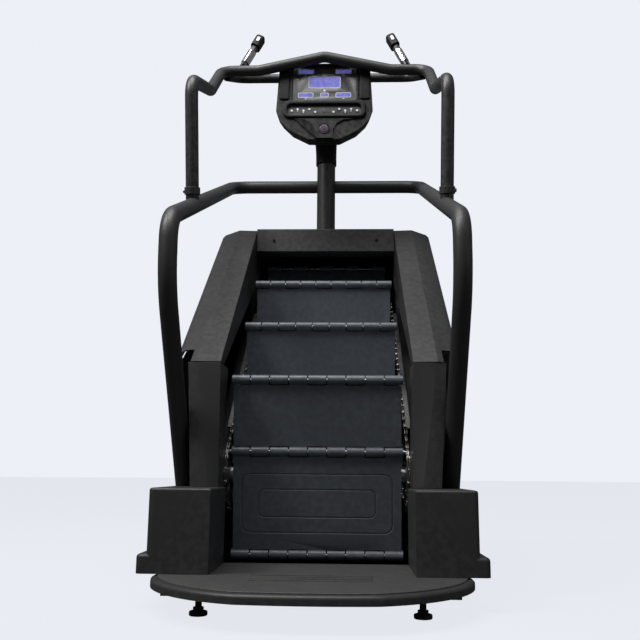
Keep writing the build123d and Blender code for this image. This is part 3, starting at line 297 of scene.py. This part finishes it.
# flat ink with worn patches
def printedInk(name, look):
    material, tree, shader, vector = newMaterial(name)
    worn = placed(tree, patchGroup, vector, Scale=look["scale"], Streak=0.5)
    tree.links.new(mixColour(tree, worn.outputs["Patch"], colour(look["ink"]), colour(look["faded"])),
                   shader.inputs["Base Color"])
    tree.links.new(remap(tree, worn.outputs["Patch"], 0.0, 1.0, 0.4, 0.55), shader.inputs["Roughness"])
    grain = placed(tree, grainGroup, vector, Scale=2500.0)
    bump = addNode(tree, "ShaderNodeBump", [("Height", grain.outputs["Height"]), ("Strength", 0.1),
                                            ("Distance", 0.0001)])
    tree.links.new(bump.outputs[0], shader.inputs["Normal"])
    return material


inkLook = dict(ink=(0.85, 0.85, 0.86), faded=(0.72, 0.73, 0.76), scale=90.0)
finishes["white_ink"] = printedInk("white_ink", inkLook)
print("finishes made:", len(finishes))


# puts a finished mesh in the scene, on its body and in its slot
def finishPiece(name, mesh, body, material, hides=(), smooth=32.0, bevel=None, segments=2):
    mesh.shade_smooth()
    mesh.set_sharp_from_angle(angle=radians(smooth))
    piece = bpy.data.objects.new(name, mesh)
    bpy.context.scene.collection.objects.link(piece)
    mesh.materials.clear()
    mesh.materials.append(finishes[material])
    if bevel:
        rounding = piece.modifiers.new("roundedEdges", "BEVEL")
        rounding.width = bevel
        rounding.segments = segments
        rounding.limit_method = "ANGLE"
        rounding.angle_limit = radians(28.0)
        rounding.harden_normals = True
        rounding.miter_outer = "MITER_ARC"
    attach(piece, body)
    if hides:
        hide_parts(*hides)
    return piece


def meshFrom(bm, name):
    mesh = bpy.data.meshes.new(name)
    bm.to_mesh(mesh)
    bm.free()
    return mesh


# adds one small shape to a piece that is still being built
def mergeInto(bm, part):
    mesh = meshFrom(part, "part")
    bm.from_mesh(mesh)
    bpy.data.meshes.remove(mesh)


def extrudeBy(bm, faces, shift):
    moved = bmesh.ops.extrude_face_region(bm, geom=faces)
    verts = [item for item in moved["geom"] if isinstance(item, bmesh.types.BMVert)]
    bmesh.ops.translate(bm, verts=verts, vec=shift)


def roundEdges(bm, edges, width, segments):
    bmesh.ops.bevel(bm, geom=edges, offset=width, offset_type="OFFSET", segments=segments, profile=0.5,
                    affect="EDGES", material=-1, clamp_overlap=True)


# a node's triangles come loose, so its copy is welded and its flat faces are joined
def mergedCopy(node):
    bm = bmesh.new()
    bm.from_mesh(nodes[node].data)
    bmesh.ops.remove_doubles(bm, verts=bm.verts, dist=0.00002)
    bmesh.ops.dissolve_limit(bm, angle_limit=radians(0.6), verts=bm.verts, edges=bm.edges)
    return bm


# finished copy of a node, with its edges rounded when a bevel is given
def roundedNode(node, bevel):
    slot = slotOf[node]
    mesh = meshFrom(mergedCopy(node), node + "_mesh")
    return finishPiece(node + "_finished", mesh, bodyOf[node], slot, (node,), bevel=bevel)


# every node first gets its own finish, so that the ones that stay are never bare
for nodeName, node in nodes.items():
    node.data.materials.clear()
    node.data.materials.append(finishes[slotOf[nodeName]])

# edge radii of the moulded and welded parts, in metres
edgeRounds = {
    "upper_cover_left": 0.0028, "upper_cover_right": 0.0028, "lower_panels": 0.003,
    "side_skirts": 0.0015, "top_crossbeam": 0.0022, "base_box_left": 0.0035,
    "base_box_right": 0.0035, "far_shroud": 0.003, "side_frames": 0.002, "base_frame": 0.002,
    "top_cross_members": 0.002, "level_treads": 0.0009, "level_risers": 0.0009,
    "turning_riser": 0.0009, "hanging_tread": 0.0009, "folding_riser": 0.0009, "top_riser": 0.0009,
    "return_treads": 0.0009, "return_risers": 0.0009, "console_rear_shell": 0.003,
    "console_bezel": 0.0012, "display_panel": 0.0006, "keypad": 0.0006, "grip_heads": 0.0015,
    "stop_button": 0.0006, "thumb_button_left": 0.0012, "thumb_button_right": 0.0012,
    "power_inlet": 0.0006, "beam_screws": 0.0004, "rail_collars": 0.0012, "neck_sleeve": 0.001,
    "mast": 0.001, "brake_housing": 0.0012, "brake_flywheel": 0.002, "drive_pulley": 0.0012,
    "foot_front_left": 0.0008, "foot_front_right": 0.0008, "foot_rear_left": 0.0008,
    "foot_rear_right": 0.0008, "lower_sprockets": 0.0007, "upper_sprockets": 0.0007,
    "shaft_bearings": 0.001, "guide_tracks": 0.001,
}
for nodeName, width in edgeRounds.items():
    roundedNode(nodeName, width)

# bent tubes and turned bars only need their facets smoothed
for nodeName in ("lower_handrail", "upper_handrail", "rear_crossbar", "hand_grips", "pulse_plates",
                 "lower_shaft", "upper_shaft", "drive_belt", "display_windows", "level_hinge_pins",
                 "hanging_hinge_pins", "return_hinge_pins"):
    roundedNode(nodeName, None)
print("node copies finished")


# roller chains around the sprockets, in metres
chain = dict(pitchCount=72, plateThick=0.0016, plateHalf=0.0062, rollerRadius=0.0052, rollerHalf=0.8,
             pinRadius=0.45, sides=10, pinSides=8, innerHalf=0.0021, outerHalf=0.0039, pinHalf=0.0048,
             bandHalfWide=0.004, bandHalfTall=0.008)  # rollerHalf and pinRadius are shares


# point at a distance along the loop round two equal wheels
def slotPoint(lower, upper, radius, distance):
    axis = upper - lower
    straight = axis.length
    along = axis.normalized()
    normal = Vector((0.0, -along.z, along.y))
    turn = pi * radius
    distance = distance % (2.0 * straight + 2.0 * turn)
    if distance < straight:
        return lower + normal * radius + along * distance
    distance -= straight
    if distance < turn:
        angle = distance / radius
        return upper + normal * radius * cos(angle) + along * radius * sin(angle)
    distance -= turn
    if distance < straight:
        return upper - normal * radius - along * distance
    distance -= straight
    angle = distance / radius
    return lower - normal * radius * cos(angle) - along * radius * sin(angle)


def addBar(bm, middle, axis, radius, half, sides):
    turn = axis.to_track_quat("Z", "Y").to_matrix().to_4x4()
    bmesh.ops.create_cone(bm, cap_ends=True, segments=sides, radius1=radius, radius2=radius,
                          depth=2.0 * half, matrix=Matrix.Translation(middle) @ turn)


def addLinkPlate(bm, start, end, x, half, thick):
    along = (end - start).normalized()
    across = Vector((0.0, -along.z, along.y))
    ring = []
    for centre, sign in ((end, 1.0), (start, -1.0)):
        for step in range(5):
            angle = pi / 2 - step * pi / 4
            ring.append(centre + (along * cos(angle) + across * sin(angle)) * half * sign)
    low = [bm.verts.new((x - thick / 2, p.y, p.z)) for p in ring]
    extrudeBy(bm, [bm.faces.new(low)], (thick, 0.0, 0.0))


def rollerChains(spec):
    low = Vector(joints["lower_shaft_turn"]["pos_m"])
    high = Vector(joints["upper_shaft_turn"]["pos_m"])
    bandLow, bandHigh = (Vector(c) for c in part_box("roller_chains"))
    offset = bandHigh.x - spec["bandHalfWide"]
    radius = (bandHigh.z - bandLow.z - (high.z - low.z)) / 2.0 - spec["bandHalfTall"]
    loop = 2.0 * (high - low).length + 2.0 * pi * radius
    pitch = loop / spec["pitchCount"]
    bm = bmesh.new()
    for index in range(spec["pitchCount"]):
        start = slotPoint(low, high, radius, index * pitch)
        end = slotPoint(low, high, radius, (index + 1) * pitch)
        plateX = spec["innerHalf"] if index % 2 else spec["outerHalf"] - spec["plateThick"] / 2
        for side in (-1.0, 1.0):
            middle = Vector((side * offset, start.y, start.z))
            addBar(bm, middle, Vector((1.0, 0.0, 0.0)), spec["rollerRadius"],
                   spec["innerHalf"] * spec["rollerHalf"], spec["sides"])
            addBar(bm, middle, Vector((1.0, 0.0, 0.0)), spec["rollerRadius"] * spec["pinRadius"],
                   spec["pinHalf"], spec["pinSides"])
            for face in (-1.0, 1.0):
                addLinkPlate(bm, start, end, side * offset + face * plateX, spec["plateHalf"],
                             spec["plateThick"])
    bmesh.ops.recalc_face_normals(bm, faces=bm.faces)
    finishPiece("roller_chain_links", meshFrom(bm, "chainLinks"), "frame", "chain_steel",
                ("roller_chains",), 40.0)


rollerChains(chain)
print("roller chains made")


# entry platform with its rounded rim, in metres
platform = dict(rim=0.009, skirt=0.0215, panelInset=0.016, panelRise=0.0036, panelEdge=0.0016,
                shoulderBack=0.295, noseHalf=0.158, noseDrop=0.010, cheekIn=0.062, cheekBack=0.143,
                bury=0.001, grips=4, gripPitch=0.032, gripLength=0.3, gripWidth=0.011,
                gripRise=0.0013, gripBury=0.0005, gripEdge=0.0009, gripForward=0.04)


# points on the circular arc through three points
def arcThrough(first, middle, last, count):
    a, b, c = (Vector((p[0], p[1])) for p in (first, middle, last))
    d = 2.0 * (a.x * (b.y - c.y) + b.x * (c.y - a.y) + c.x * (a.y - b.y))
    squares = [p.length_squared for p in (a, b, c)]
    cx = (squares[0] * (b.y - c.y) + squares[1] * (c.y - a.y) + squares[2] * (a.y - b.y)) / d
    cy = (squares[0] * (c.x - b.x) + squares[1] * (a.x - c.x) + squares[2] * (b.x - a.x)) / d
    radius = hypot(a.x - cx, a.y - cy)
    angles = [atan2(p.y - cy, p.x - cx) for p in (a, b, c)]
    for index in (1, 2):
        while angles[index] - angles[index - 1] > pi:
            angles[index] -= 2.0 * pi
        while angles[index] - angles[index - 1] < -pi:
            angles[index] += 2.0 * pi
    total = angles[2] - angles[0]
    turns = [angles[0] + total * k / count for k in range(count + 1)]
    return [(cx + radius * cos(turn), cy + radius * sin(turn)) for turn in turns]


def platformOutline(spec, low, high, inset):
    half = high.x - inset
    front = low.y + inset
    back = high.y - inset
    shoulder = low.y + spec["shoulderBack"]
    cheek = (half - spec["cheekIn"], low.y + spec["cheekBack"] + inset * 0.5)
    side = arcThrough((half, shoulder), cheek, (spec["noseHalf"], front + spec["noseDrop"]), 14)
    nose = arcThrough((spec["noseHalf"], front + spec["noseDrop"]), (0.0, front),
                      (-spec["noseHalf"], front + spec["noseDrop"]), 12)
    other = [(-x, y) for x, y in side[::-1]]
    return [(half, back)] + side + nose[1:-1] + other + [(-half, back)]


def raisedOutline(points, z, depth, rim, segments):
    bm = bmesh.new()
    top = bm.faces.new([bm.verts.new((x, y, z)) for x, y in points])
    if top.normal.z < 0 or sum((points[k - 1][0] * p[1] - p[0] * points[k - 1][1])
                               for k, p in enumerate(points)) < 0:
        bmesh.ops.reverse_faces(bm, faces=[top])
    extrudeBy(bm, [top], (0.0, 0.0, -depth))
    bmesh.ops.recalc_face_normals(bm, faces=bm.faces)
    roundEdges(bm, [e for e in bm.edges if all(abs(v.co.z - z) < 1e-6 for v in e.verts)], rim, segments)
    bmesh.ops.recalc_face_normals(bm, faces=bm.faces)
    return bm


def entryPlatform(spec):
    low, high = (Vector(c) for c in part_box("entry_platform"))
    bm = raisedOutline(platformOutline(spec, low, high, 0.0), high.z, spec["skirt"], spec["rim"], 5)
    finishPiece("entry_platform_shell", meshFrom(bm, "platformShell"), "frame",
                "dark_cover_plastic", ("entry_platform",), 40.0)
    outline = platformOutline(spec, low, high, spec["panelInset"])
    bm = raisedOutline(outline, high.z + spec["panelRise"], spec["panelRise"] + spec["bury"],
                       spec["panelEdge"], 3)
    finishPiece("platform_panel", meshFrom(bm, "platformPanel"), "frame",
                "grey_panel_plastic", ("platform_tread_panel",), 40.0)
    bm = bmesh.new()
    middleY = (low.y + high.y) / 2.0 - spec["gripForward"]
    for index in range(spec["grips"]):
        y = middleY + (index - (spec["grips"] - 1) / 2.0) * spec["gripPitch"]
        ring = []      # rounded bar, seen from above
        reach = spec["gripLength"] / 2.0 - spec["gripWidth"] / 2.0
        for side in (1.0, -1.0):
            for step in range(7):
                angle = side * pi / 2 - pi / 2 + (step / 6.0 - 0.5) * pi
                ring.append((side * reach + cos(angle) * spec["gripWidth"] / 2.0,
                             y + sin(angle) * spec["gripWidth"] / 2.0))
        mergeInto(bm, raisedOutline(ring, high.z + spec["panelRise"] + spec["gripRise"],
                                    spec["gripRise"] + spec["gripBury"], spec["gripEdge"], 2))
    finishPiece("platform_grip_ribs", meshFrom(bm, "gripRibs"), "frame", "tread_rubber")


entryPlatform(platform)
print("platform made")


# the console face looks along outward, with upward towards its top edge
pressAxis = Vector(joints["stop_button_press"]["axis"]).normalized()
outward = -pressAxis
upward = Vector((0.0, -outward.z, outward.y)) if outward.y > 0 else Vector((0.0, outward.z, -outward.y))
screenLow, screenHigh = (Vector(c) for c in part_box("display_panel"))
screenMiddle = (screenLow + screenHigh) / 2.0
faceSettings = dict(
    screenHalfWide=0.121, screenHalfTall=0.077, screenDepth=0.0025, lap=0.0005, bury=-0.002,
    surround=0.008, surroundCorner=0.014, screenCorner=0.007, surroundRise=0.0045, surroundEdge=0.0022,
    cheekU=0.1515, cheekV=0.002, cheekHalfWide=0.019, cheekShort=0.004, cheekCorner=0.008,
    cheekRise=0.0055, cheekEdge=0.003,
    keyV=-0.117, keyHalfWide=0.138, keyHalfTall=0.023, keyLift=0.002, keySide=0.017, keyTop=0.013,
    keyCorner=0.024, keyInnerCorner=0.016, keyRise=0.010, keyEdge=0.0045,
    buttonV=-0.197, collarOuter=0.0225, collarInner=0.0185, collarCorner=0.0001, collarBury=-0.001,
    collarRise=0.0075, collarEdge=0.0015, hubHole=0.0222, hubRise=0.005, hubThick=0.007, hubSteps=16,
    hubFlank=((0.112, -0.154), (0.070, -0.160), (0.047, -0.174), (0.034, -0.200), (0.031, -0.236)))
faceMatrix = Matrix.Translation(screenMiddle + outward * faceSettings["screenDepth"]) @ Matrix(
    ((1.0, upward.x, outward.x, 0.0), (0.0, upward.y, outward.y, 0.0), (0.0, upward.z, outward.z, 0.0),
     (0.0, 0.0, 0.0, 1.0)))


def roundedRectangle(u, v, halfWide, halfTall, corner, steps=5):
    points = []
    for sx, sy, start in ((1, 1, 0.0), (-1, 1, pi / 2), (-1, -1, pi), (1, -1, 3 * pi / 2)):
        for step in range(steps + 1):
            angle = start + step / steps * pi / 2
            points.append((u + sx * (halfWide - corner) + corner * cos(angle),
                           v + sy * (halfTall - corner) + corner * sin(angle)))
    return points


def addPlate(bm, points, bottom, top, edge, segments=2):
    plate = bmesh.new()
    face = plate.faces.new([plate.verts.new((u, v, bottom)) for u, v in points])
    extrudeBy(plate, [face], (0.0, 0.0, top - bottom))
    bmesh.ops.recalc_face_normals(plate, faces=plate.faces)
    if edge:
        rim = [e for e in plate.edges if all(abs(v.co.z - top) < 1e-7 for v in e.verts)]
        roundEdges(plate, rim, edge, segments)
    mergeInto(bm, plate)


def addRing(bm, outer, inner, bottom, top, edge, segments=2):
    ring = bmesh.new()
    outerLoop = [ring.verts.new((u, v, top)) for u, v in outer]
    innerLoop = [ring.verts.new((u, v, top)) for u, v in inner]
    count = len(outer)
    for k in range(count):
        after = (k + 1) % count
        ring.faces.new((outerLoop[k], outerLoop[after], innerLoop[after], innerLoop[k]))
    extrudeBy(ring, ring.faces[:], (0.0, 0.0, bottom - top))
    bmesh.ops.recalc_face_normals(ring, faces=ring.faces)
    if edge:
        loops = [e for e in ring.edges if all(abs(v.co.z - top) < 1e-7 for v in e.verts)
                 and abs(e.calc_face_angle(0.0)) > 1.0]
        roundEdges(ring, loops, edge, segments)
    mergeInto(bm, ring)


# raised plate with a round hole, joined from two halves so that every face stays simple
def addHub(bm, outline, spec):
    hub = bmesh.new()
    holeV, holeRadius, count = spec["buttonV"], spec["hubHole"], spec["hubSteps"]
    right = outline[:len(outline) // 2]
    for side in (-1.0, 1.0):
        hole = [(side * holeRadius * sin(pi * k / count), holeV + holeRadius * cos(pi * k / count))
                for k in range(count + 1)]
        loop = [(0.0, right[0][1])] + [(side * u, v) for u, v in right]
        loop += [(0.0, right[-1][1])] + hole[::-1]
        face = hub.faces.new([hub.verts.new((u, v, spec["hubRise"])) for u, v in loop])
        bmesh.ops.triangulate(hub, faces=[face], quad_method="BEAUTY", ngon_method="EAR_CLIP")
    bmesh.ops.remove_doubles(hub, verts=hub.verts, dist=0.00001)
    extrudeBy(hub, hub.faces[:], (0.0, 0.0, -spec["hubThick"]))
    bmesh.ops.recalc_face_normals(hub, faces=hub.faces)
    mergeInto(bm, hub)


# moves a shape from the face plane, where z is outward, to its place on the console
def facePiece(name, bm, material, smooth=35.0):
    bmesh.ops.transform(bm, matrix=faceMatrix, verts=bm.verts)
    bmesh.ops.recalc_face_normals(bm, faces=bm.faces)
    return finishPiece(name, meshFrom(bm, name + "Mesh"), "frame", material, (), smooth)


def consoleFace(spec):
    wide, tall, bury, lap = spec["screenHalfWide"], spec["screenHalfTall"], spec["bury"], spec["lap"]
    bm = bmesh.new()
    addRing(bm, roundedRectangle(0.0, 0.0, wide + spec["surround"], tall + spec["surround"],
                                 spec["surroundCorner"]),
            roundedRectangle(0.0, 0.0, wide - lap, tall - lap, spec["screenCorner"]),
            bury, spec["surroundRise"], spec["surroundEdge"], 3)
    for side in (-1.0, 1.0):
        addPlate(bm, roundedRectangle(side * spec["cheekU"], spec["cheekV"], spec["cheekHalfWide"],
                                      tall - spec["cheekShort"], spec["cheekCorner"]),
                 bury, spec["cheekRise"], spec["cheekEdge"], 3)
    facePiece("display_surround", bm, "console_black")
    keyV, keyWide, keyTall = spec["keyV"], spec["keyHalfWide"], spec["keyHalfTall"]
    bm = bmesh.new()
    addRing(bm, roundedRectangle(0.0, keyV + spec["keyLift"], keyWide + spec["keySide"],
                                 keyTall + spec["keyTop"], spec["keyCorner"]),
            roundedRectangle(0.0, keyV, keyWide - lap, keyTall - lap, spec["keyInnerCorner"]),
            bury, spec["keyRise"], spec["keyEdge"], 4)
    facePiece("keypad_surround", bm, "console_black")
    bm = bmesh.new()
    outer, inner = spec["collarOuter"], spec["collarInner"]
    addRing(bm, roundedRectangle(0.0, spec["buttonV"], outer, outer, outer - spec["collarCorner"], 8),
            roundedRectangle(0.0, spec["buttonV"], inner, inner, inner - spec["collarCorner"], 8),
            spec["collarBury"], spec["collarRise"], spec["collarEdge"])
    flank = list(spec["hubFlank"])
    addHub(bm, flank + [(-u, v) for u, v in flank[::-1]], spec)
    facePiece("button_hub", bm, "console_black")


# printed frames as (u, v, half width, half height, corner), bars and key marks
printing = dict(
    frames=((0.0, 0.005, 0.0605, 0.0255, 0.006), (-0.071, 0.052, 0.031, 0.0105, 0.005),
            (0.071, 0.052, 0.031, 0.0105, 0.005), (-0.071, -0.051, 0.029, 0.0105, 0.005),
            (0.071, -0.051, 0.029, 0.0105, 0.005), (0.0, -0.051, 0.0155, 0.0095, 0.005)),
    bars=((0.0, -0.031, 0.0042, 0.0034, 0.003), (0.0, 0.036, 0.0085, 0.0013, 0.0012),
          (-0.071, 0.037, 0.004, 0.0011, 0.001), (0.071, 0.037, 0.004, 0.0011, 0.001),
          (-0.071, -0.066, 0.004, 0.0011, 0.001), (0.071, -0.066, 0.004, 0.0011, 0.001)),
    line=0.0022, cornerLess=0.002, screenBottom=-0.0015, screenTop=-0.0007,
    columns=5, firstU=0.034, stepU=0.022, markRadius=0.0042, markSides=8, oddLift=0.005, evenLift=-0.001,
    firstDrop=0.006, barDrop=0.008, barHalfWide=0.0016, barHalfTall=0.0024, barCorner=0.001,
    keyBottom=-0.001, keyTop=0.0007)


def displayPrint(face, spec):
    bottom, top, line = spec["screenBottom"], spec["screenTop"], spec["line"]
    bm = bmesh.new()
    for u, v, halfWide, halfTall, corner in spec["frames"]:
        addRing(bm, roundedRectangle(u, v, halfWide, halfTall, corner),
                roundedRectangle(u, v, halfWide - line, halfTall - line, corner - spec["cornerLess"]),
                bottom, top, 0.0)
    for u, v, halfWide, halfTall, corner in spec["bars"]:
        addPlate(bm, roundedRectangle(u, v, halfWide, halfTall, corner), bottom, top, 0.0)
    facePiece("display_printing", bm, "white_ink")
    bottom, top, radius = spec["keyBottom"], spec["keyTop"], spec["markRadius"]
    bm = bmesh.new()
    for side in (-1.0, 1.0):
        for column in range(spec["columns"]):
            u = side * (spec["firstU"] + column * spec["stepU"])
            v = face["keyV"] + (spec["oddLift"] if column % 2 else spec["evenLift"])
            if column == 0:
                v -= spec["firstDrop"]
            angles = [2.0 * pi * k / spec["markSides"] for k in range(spec["markSides"])]
            addPlate(bm, [(u + radius * cos(a), v + radius * sin(a)) for a in angles], bottom, top, 0.0)
            if column in (2, 3):      # the two middle keys also carry a bar
                addPlate(bm, roundedRectangle(u, v - spec["barDrop"], spec["barHalfWide"],
                                              spec["barHalfTall"], spec["barCorner"]), bottom, top, 0.0)
    facePiece("key_printing", bm, "white_ink")


consoleFace(faceSettings)
displayPrint(faceSettings, printing)
print("console face made")


# transport wheels: tyre, rim and axle cap, in metres
wheel = dict(tyreOuter=0.030, tyreInner=0.021, halfWide=0.0105, hub=0.0095, cap=0.0078, turns=48,
             capOut=0.0118, capHalf=0.0014, capSides=24, capEdge=0.0006)


def transportWheel(spec, side):
    body = "wheel_" + side
    low, high = (Vector(c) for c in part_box(body))
    centre = (low + high) / 2.0
    outer, inner, edge = spec["tyreOuter"], spec["tyreInner"], -spec["halfWide"]
    web = edge * 0.55
    profile = [(spec["cap"], edge), (spec["hub"], edge), (spec["hub"] + 0.001, web),
               (inner - 0.002, web), (inner, edge), (outer - 0.003, edge),
               (outer - 0.0007, edge * 0.72), (outer, 0.0)]
    profile += [(r, -x) for r, x in profile[-2::-1]]      # the other half of the tyre
    bm = bmesh.new()
    verts = [bm.verts.new((x, 0.0, r)) for r, x in profile]
    edges = [bm.edges.new((verts[k], verts[k + 1])) for k in range(len(verts) - 1)]
    edges.append(bm.edges.new((verts[-1], verts[0])))
    bmesh.ops.spin(bm, geom=verts + edges, cent=(0.0, 0.0, 0.0), axis=(1.0, 0.0, 0.0), angle=2.0 * pi,
                   steps=spec["turns"], use_merge=True)
    bmesh.ops.remove_doubles(bm, verts=bm.verts, dist=0.00001)
    bmesh.ops.translate(bm, verts=bm.verts, vec=centre)
    bmesh.ops.recalc_face_normals(bm, faces=bm.faces)
    finishPiece(body + "_tyre", meshFrom(bm, body + "Mesh"), body, "tread_rubber",
                (body,), 38.0)
    capX = centre.x + (spec["capOut"] if side == "right" else -spec["capOut"])
    bm = bmesh.new()
    addBar(bm, Vector((capX, centre.y, centre.z)), Vector((1.0, 0.0, 0.0)), spec["cap"], spec["capHalf"],
           spec["capSides"])
    finishPiece(body + "_axle_cap", meshFrom(bm, body + "Cap"), "frame", "zinc_steel", (),
                38.0, spec["capEdge"])


transportWheel(wheel, "left")
transportWheel(wheel, "right")
print("wheels made")


# socket screw that stands on a surface and faces along the axis
def capScrew(bm, place, axis, radius, height):
    turn = axis.to_track_quat("Z", "Y").to_matrix().to_4x4()
    head = bmesh.new()
    bmesh.ops.create_cone(head, cap_ends=True, segments=20, radius1=radius, radius2=radius * 0.9,
                          depth=height)
    top = [f for f in head.faces if f.normal.z > 0.9]
    bmesh.ops.inset_region(head, faces=top, thickness=radius * 0.45, depth=0.0)
    bmesh.ops.translate(head, verts=top[0].verts, vec=(0.0, 0.0, -height * 0.6))
    bmesh.ops.transform(head, matrix=Matrix.Translation(place) @ turn, verts=head.verts)
    mergeInto(bm, head)


railBolts = dict(radius=0.0065, height=0.005, standOut=0.3, skirtRadius=0.005, skirtHeight=0.003,
                 skirtSink=0.0019)  # standOut is a share of the height


def fasteners(spec):
    low, high = (Vector(c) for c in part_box("rail_collars"))
    collarZ = (low.z + high.z) / 2.0
    bm = bmesh.new()
    for side in (-1.0, 1.0):
        boltX = side * (high.x + spec["height"] * spec["standOut"])
        capScrew(bm, Vector((boltX, (low.y + high.y) / 2.0, collarZ)), Vector((side, 0.0, 0.0)),
                 spec["radius"], spec["height"])
    finishPiece("collar_bolts", meshFrom(bm, "collarBolts"), "frame", "zinc_steel",
                smooth=35.0)
    skirtLow, skirtHigh = (Vector(c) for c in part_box("side_skirts"))
    bm = bmesh.new()
    faceX = skirtHigh.x - spec["skirtSink"]
    bottomZ, rearY = skirtLow.z + 0.03, skirtHigh.y - 0.03
    places = ((skirtLow.y + 0.16, bottomZ), (rearY, bottomZ), (rearY, skirtHigh.z - 0.12),
              (rearY, skirtLow.z + 0.5), (skirtLow.y + 0.42, bottomZ))
    for side in (-1.0, 1.0):
        for y, z in places:
            capScrew(bm, Vector((side * faceX, y, z)), Vector((side, 0.0, 0.0)), spec["skirtRadius"],
                     spec["skirtHeight"])
    finishPiece("skirt_screws", meshFrom(bm, "skirtScrews"), "frame", "zinc_steel",
                smooth=35.0)


fasteners(railBolts)
print("fasteners made")


# the floor and the world are pale to the camera and dim to everything else
studio = dict(backdrop=(0.847, 0.871, 0.93), ambient=0.16, floorGlow=0.9, floorTone=0.06,
              floorBounce=0.05, floorRadius=40.0)


def studioFloor(spec):
    bm = bmesh.new()
    bmesh.ops.create_circle(bm, cap_ends=True, segments=96, radius=spec["floorRadius"])
    mesh = meshFrom(bm, "studioFloor")
    floor = bpy.data.objects.new("studio_floor", mesh)
    bpy.context.scene.collection.objects.link(floor)
    material, tree, shader = newMaterial("studio_paper")[:3]
    seen = tree.nodes.new("ShaderNodeLightPath").outputs["Is Camera Ray"]
    bounced = colour([spec["floorBounce"]] * 3)
    paper = colour([value * spec["floorTone"] for value in spec["backdrop"]])
    tree.links.new(mixColour(tree, seen, bounced, paper), shader.inputs["Base Color"])
    shader.inputs["Emission Color"].default_value = colour(spec["backdrop"])
    glow = mathNode(tree, "MULTIPLY", seen, spec["floorGlow"])
    tree.links.new(glow, shader.inputs["Emission Strength"])
    shader.inputs["Roughness"].default_value = 1.0
    shader.inputs["Specular IOR Level"].default_value = 0.0
    mesh.materials.append(material)


def paleWorld(spec):
    world = bpy.data.worlds.new("paleStudio")
    world.use_nodes = True
    tree = world.node_tree
    seen = tree.nodes.new("ShaderNodeLightPath").outputs["Is Camera Ray"]
    background = tree.nodes["Background"]
    background.inputs[0].default_value = colour(spec["backdrop"])
    tree.links.new(remap(tree, seen, 0.0, 1.0, spec["ambient"], 1.0), background.inputs[1])
    bpy.context.scene.world = world


def areaLight(name, place, aim, size, power, tint):
    data = bpy.data.lights.new(name, "AREA")
    data.shape = "RECTANGLE"
    data.size, data.size_y = size
    data.energy = power
    data.color = tint
    lamp = bpy.data.objects.new(name, data)
    bpy.context.scene.collection.objects.link(lamp)
    lamp.location = place
    lamp.rotation_euler = (Vector(aim) - Vector(place)).to_track_quat("-Z", "Y").to_euler()


studioFloor(studio)
paleWorld(studio)
bpy.context.scene.view_settings.view_transform = "Standard"
# name, place, aim, size in metres, watts and tint
lamps = [("keyLeft", (-3.0, -1.9, 4.6), (0.0, 0.0, 0.9), (1.4, 1.4), 150.0, (1.0, 0.985, 0.96)),
         ("fillRight", (3.6, -2.6, 2.2), (0.0, 0.1, 0.9), (2.2, 2.6), 8.0, (0.93, 0.96, 1.0)),
         ("topSoft", (-0.5, -1.2, 4.6), (0.0, 0.1, 0.6), (2.2, 2.2), 120.0, (1.0, 1.0, 1.0))]
for lamp in lamps:
    areaLight(*lamp)

cameraSettings = dict(place=(0.083, -2.563, 0.3335), pitch=11.08, yaw=1.95, roll=0.5, lens=43.875,
                      sensor=36.0)
cameraData = bpy.data.cameras.new("camera")
cameraData.lens = cameraSettings["lens"]
cameraData.sensor_width = cameraSettings["sensor"]
camera = bpy.data.objects.new("camera", cameraData)
bpy.context.scene.collection.objects.link(camera)
turns = [("Z", cameraSettings["yaw"]), ("X", 90.0 + cameraSettings["pitch"]),
         ("Z", cameraSettings["roll"])]
camera.matrix_world = Matrix.Translation(cameraSettings["place"])
for axisName, angle in turns:
    camera.matrix_world = camera.matrix_world @ Matrix.Rotation(radians(angle), 4, axisName)
bpy.context.scene.camera = camera
print("camera and light set")

bpy.context.view_layer.update()
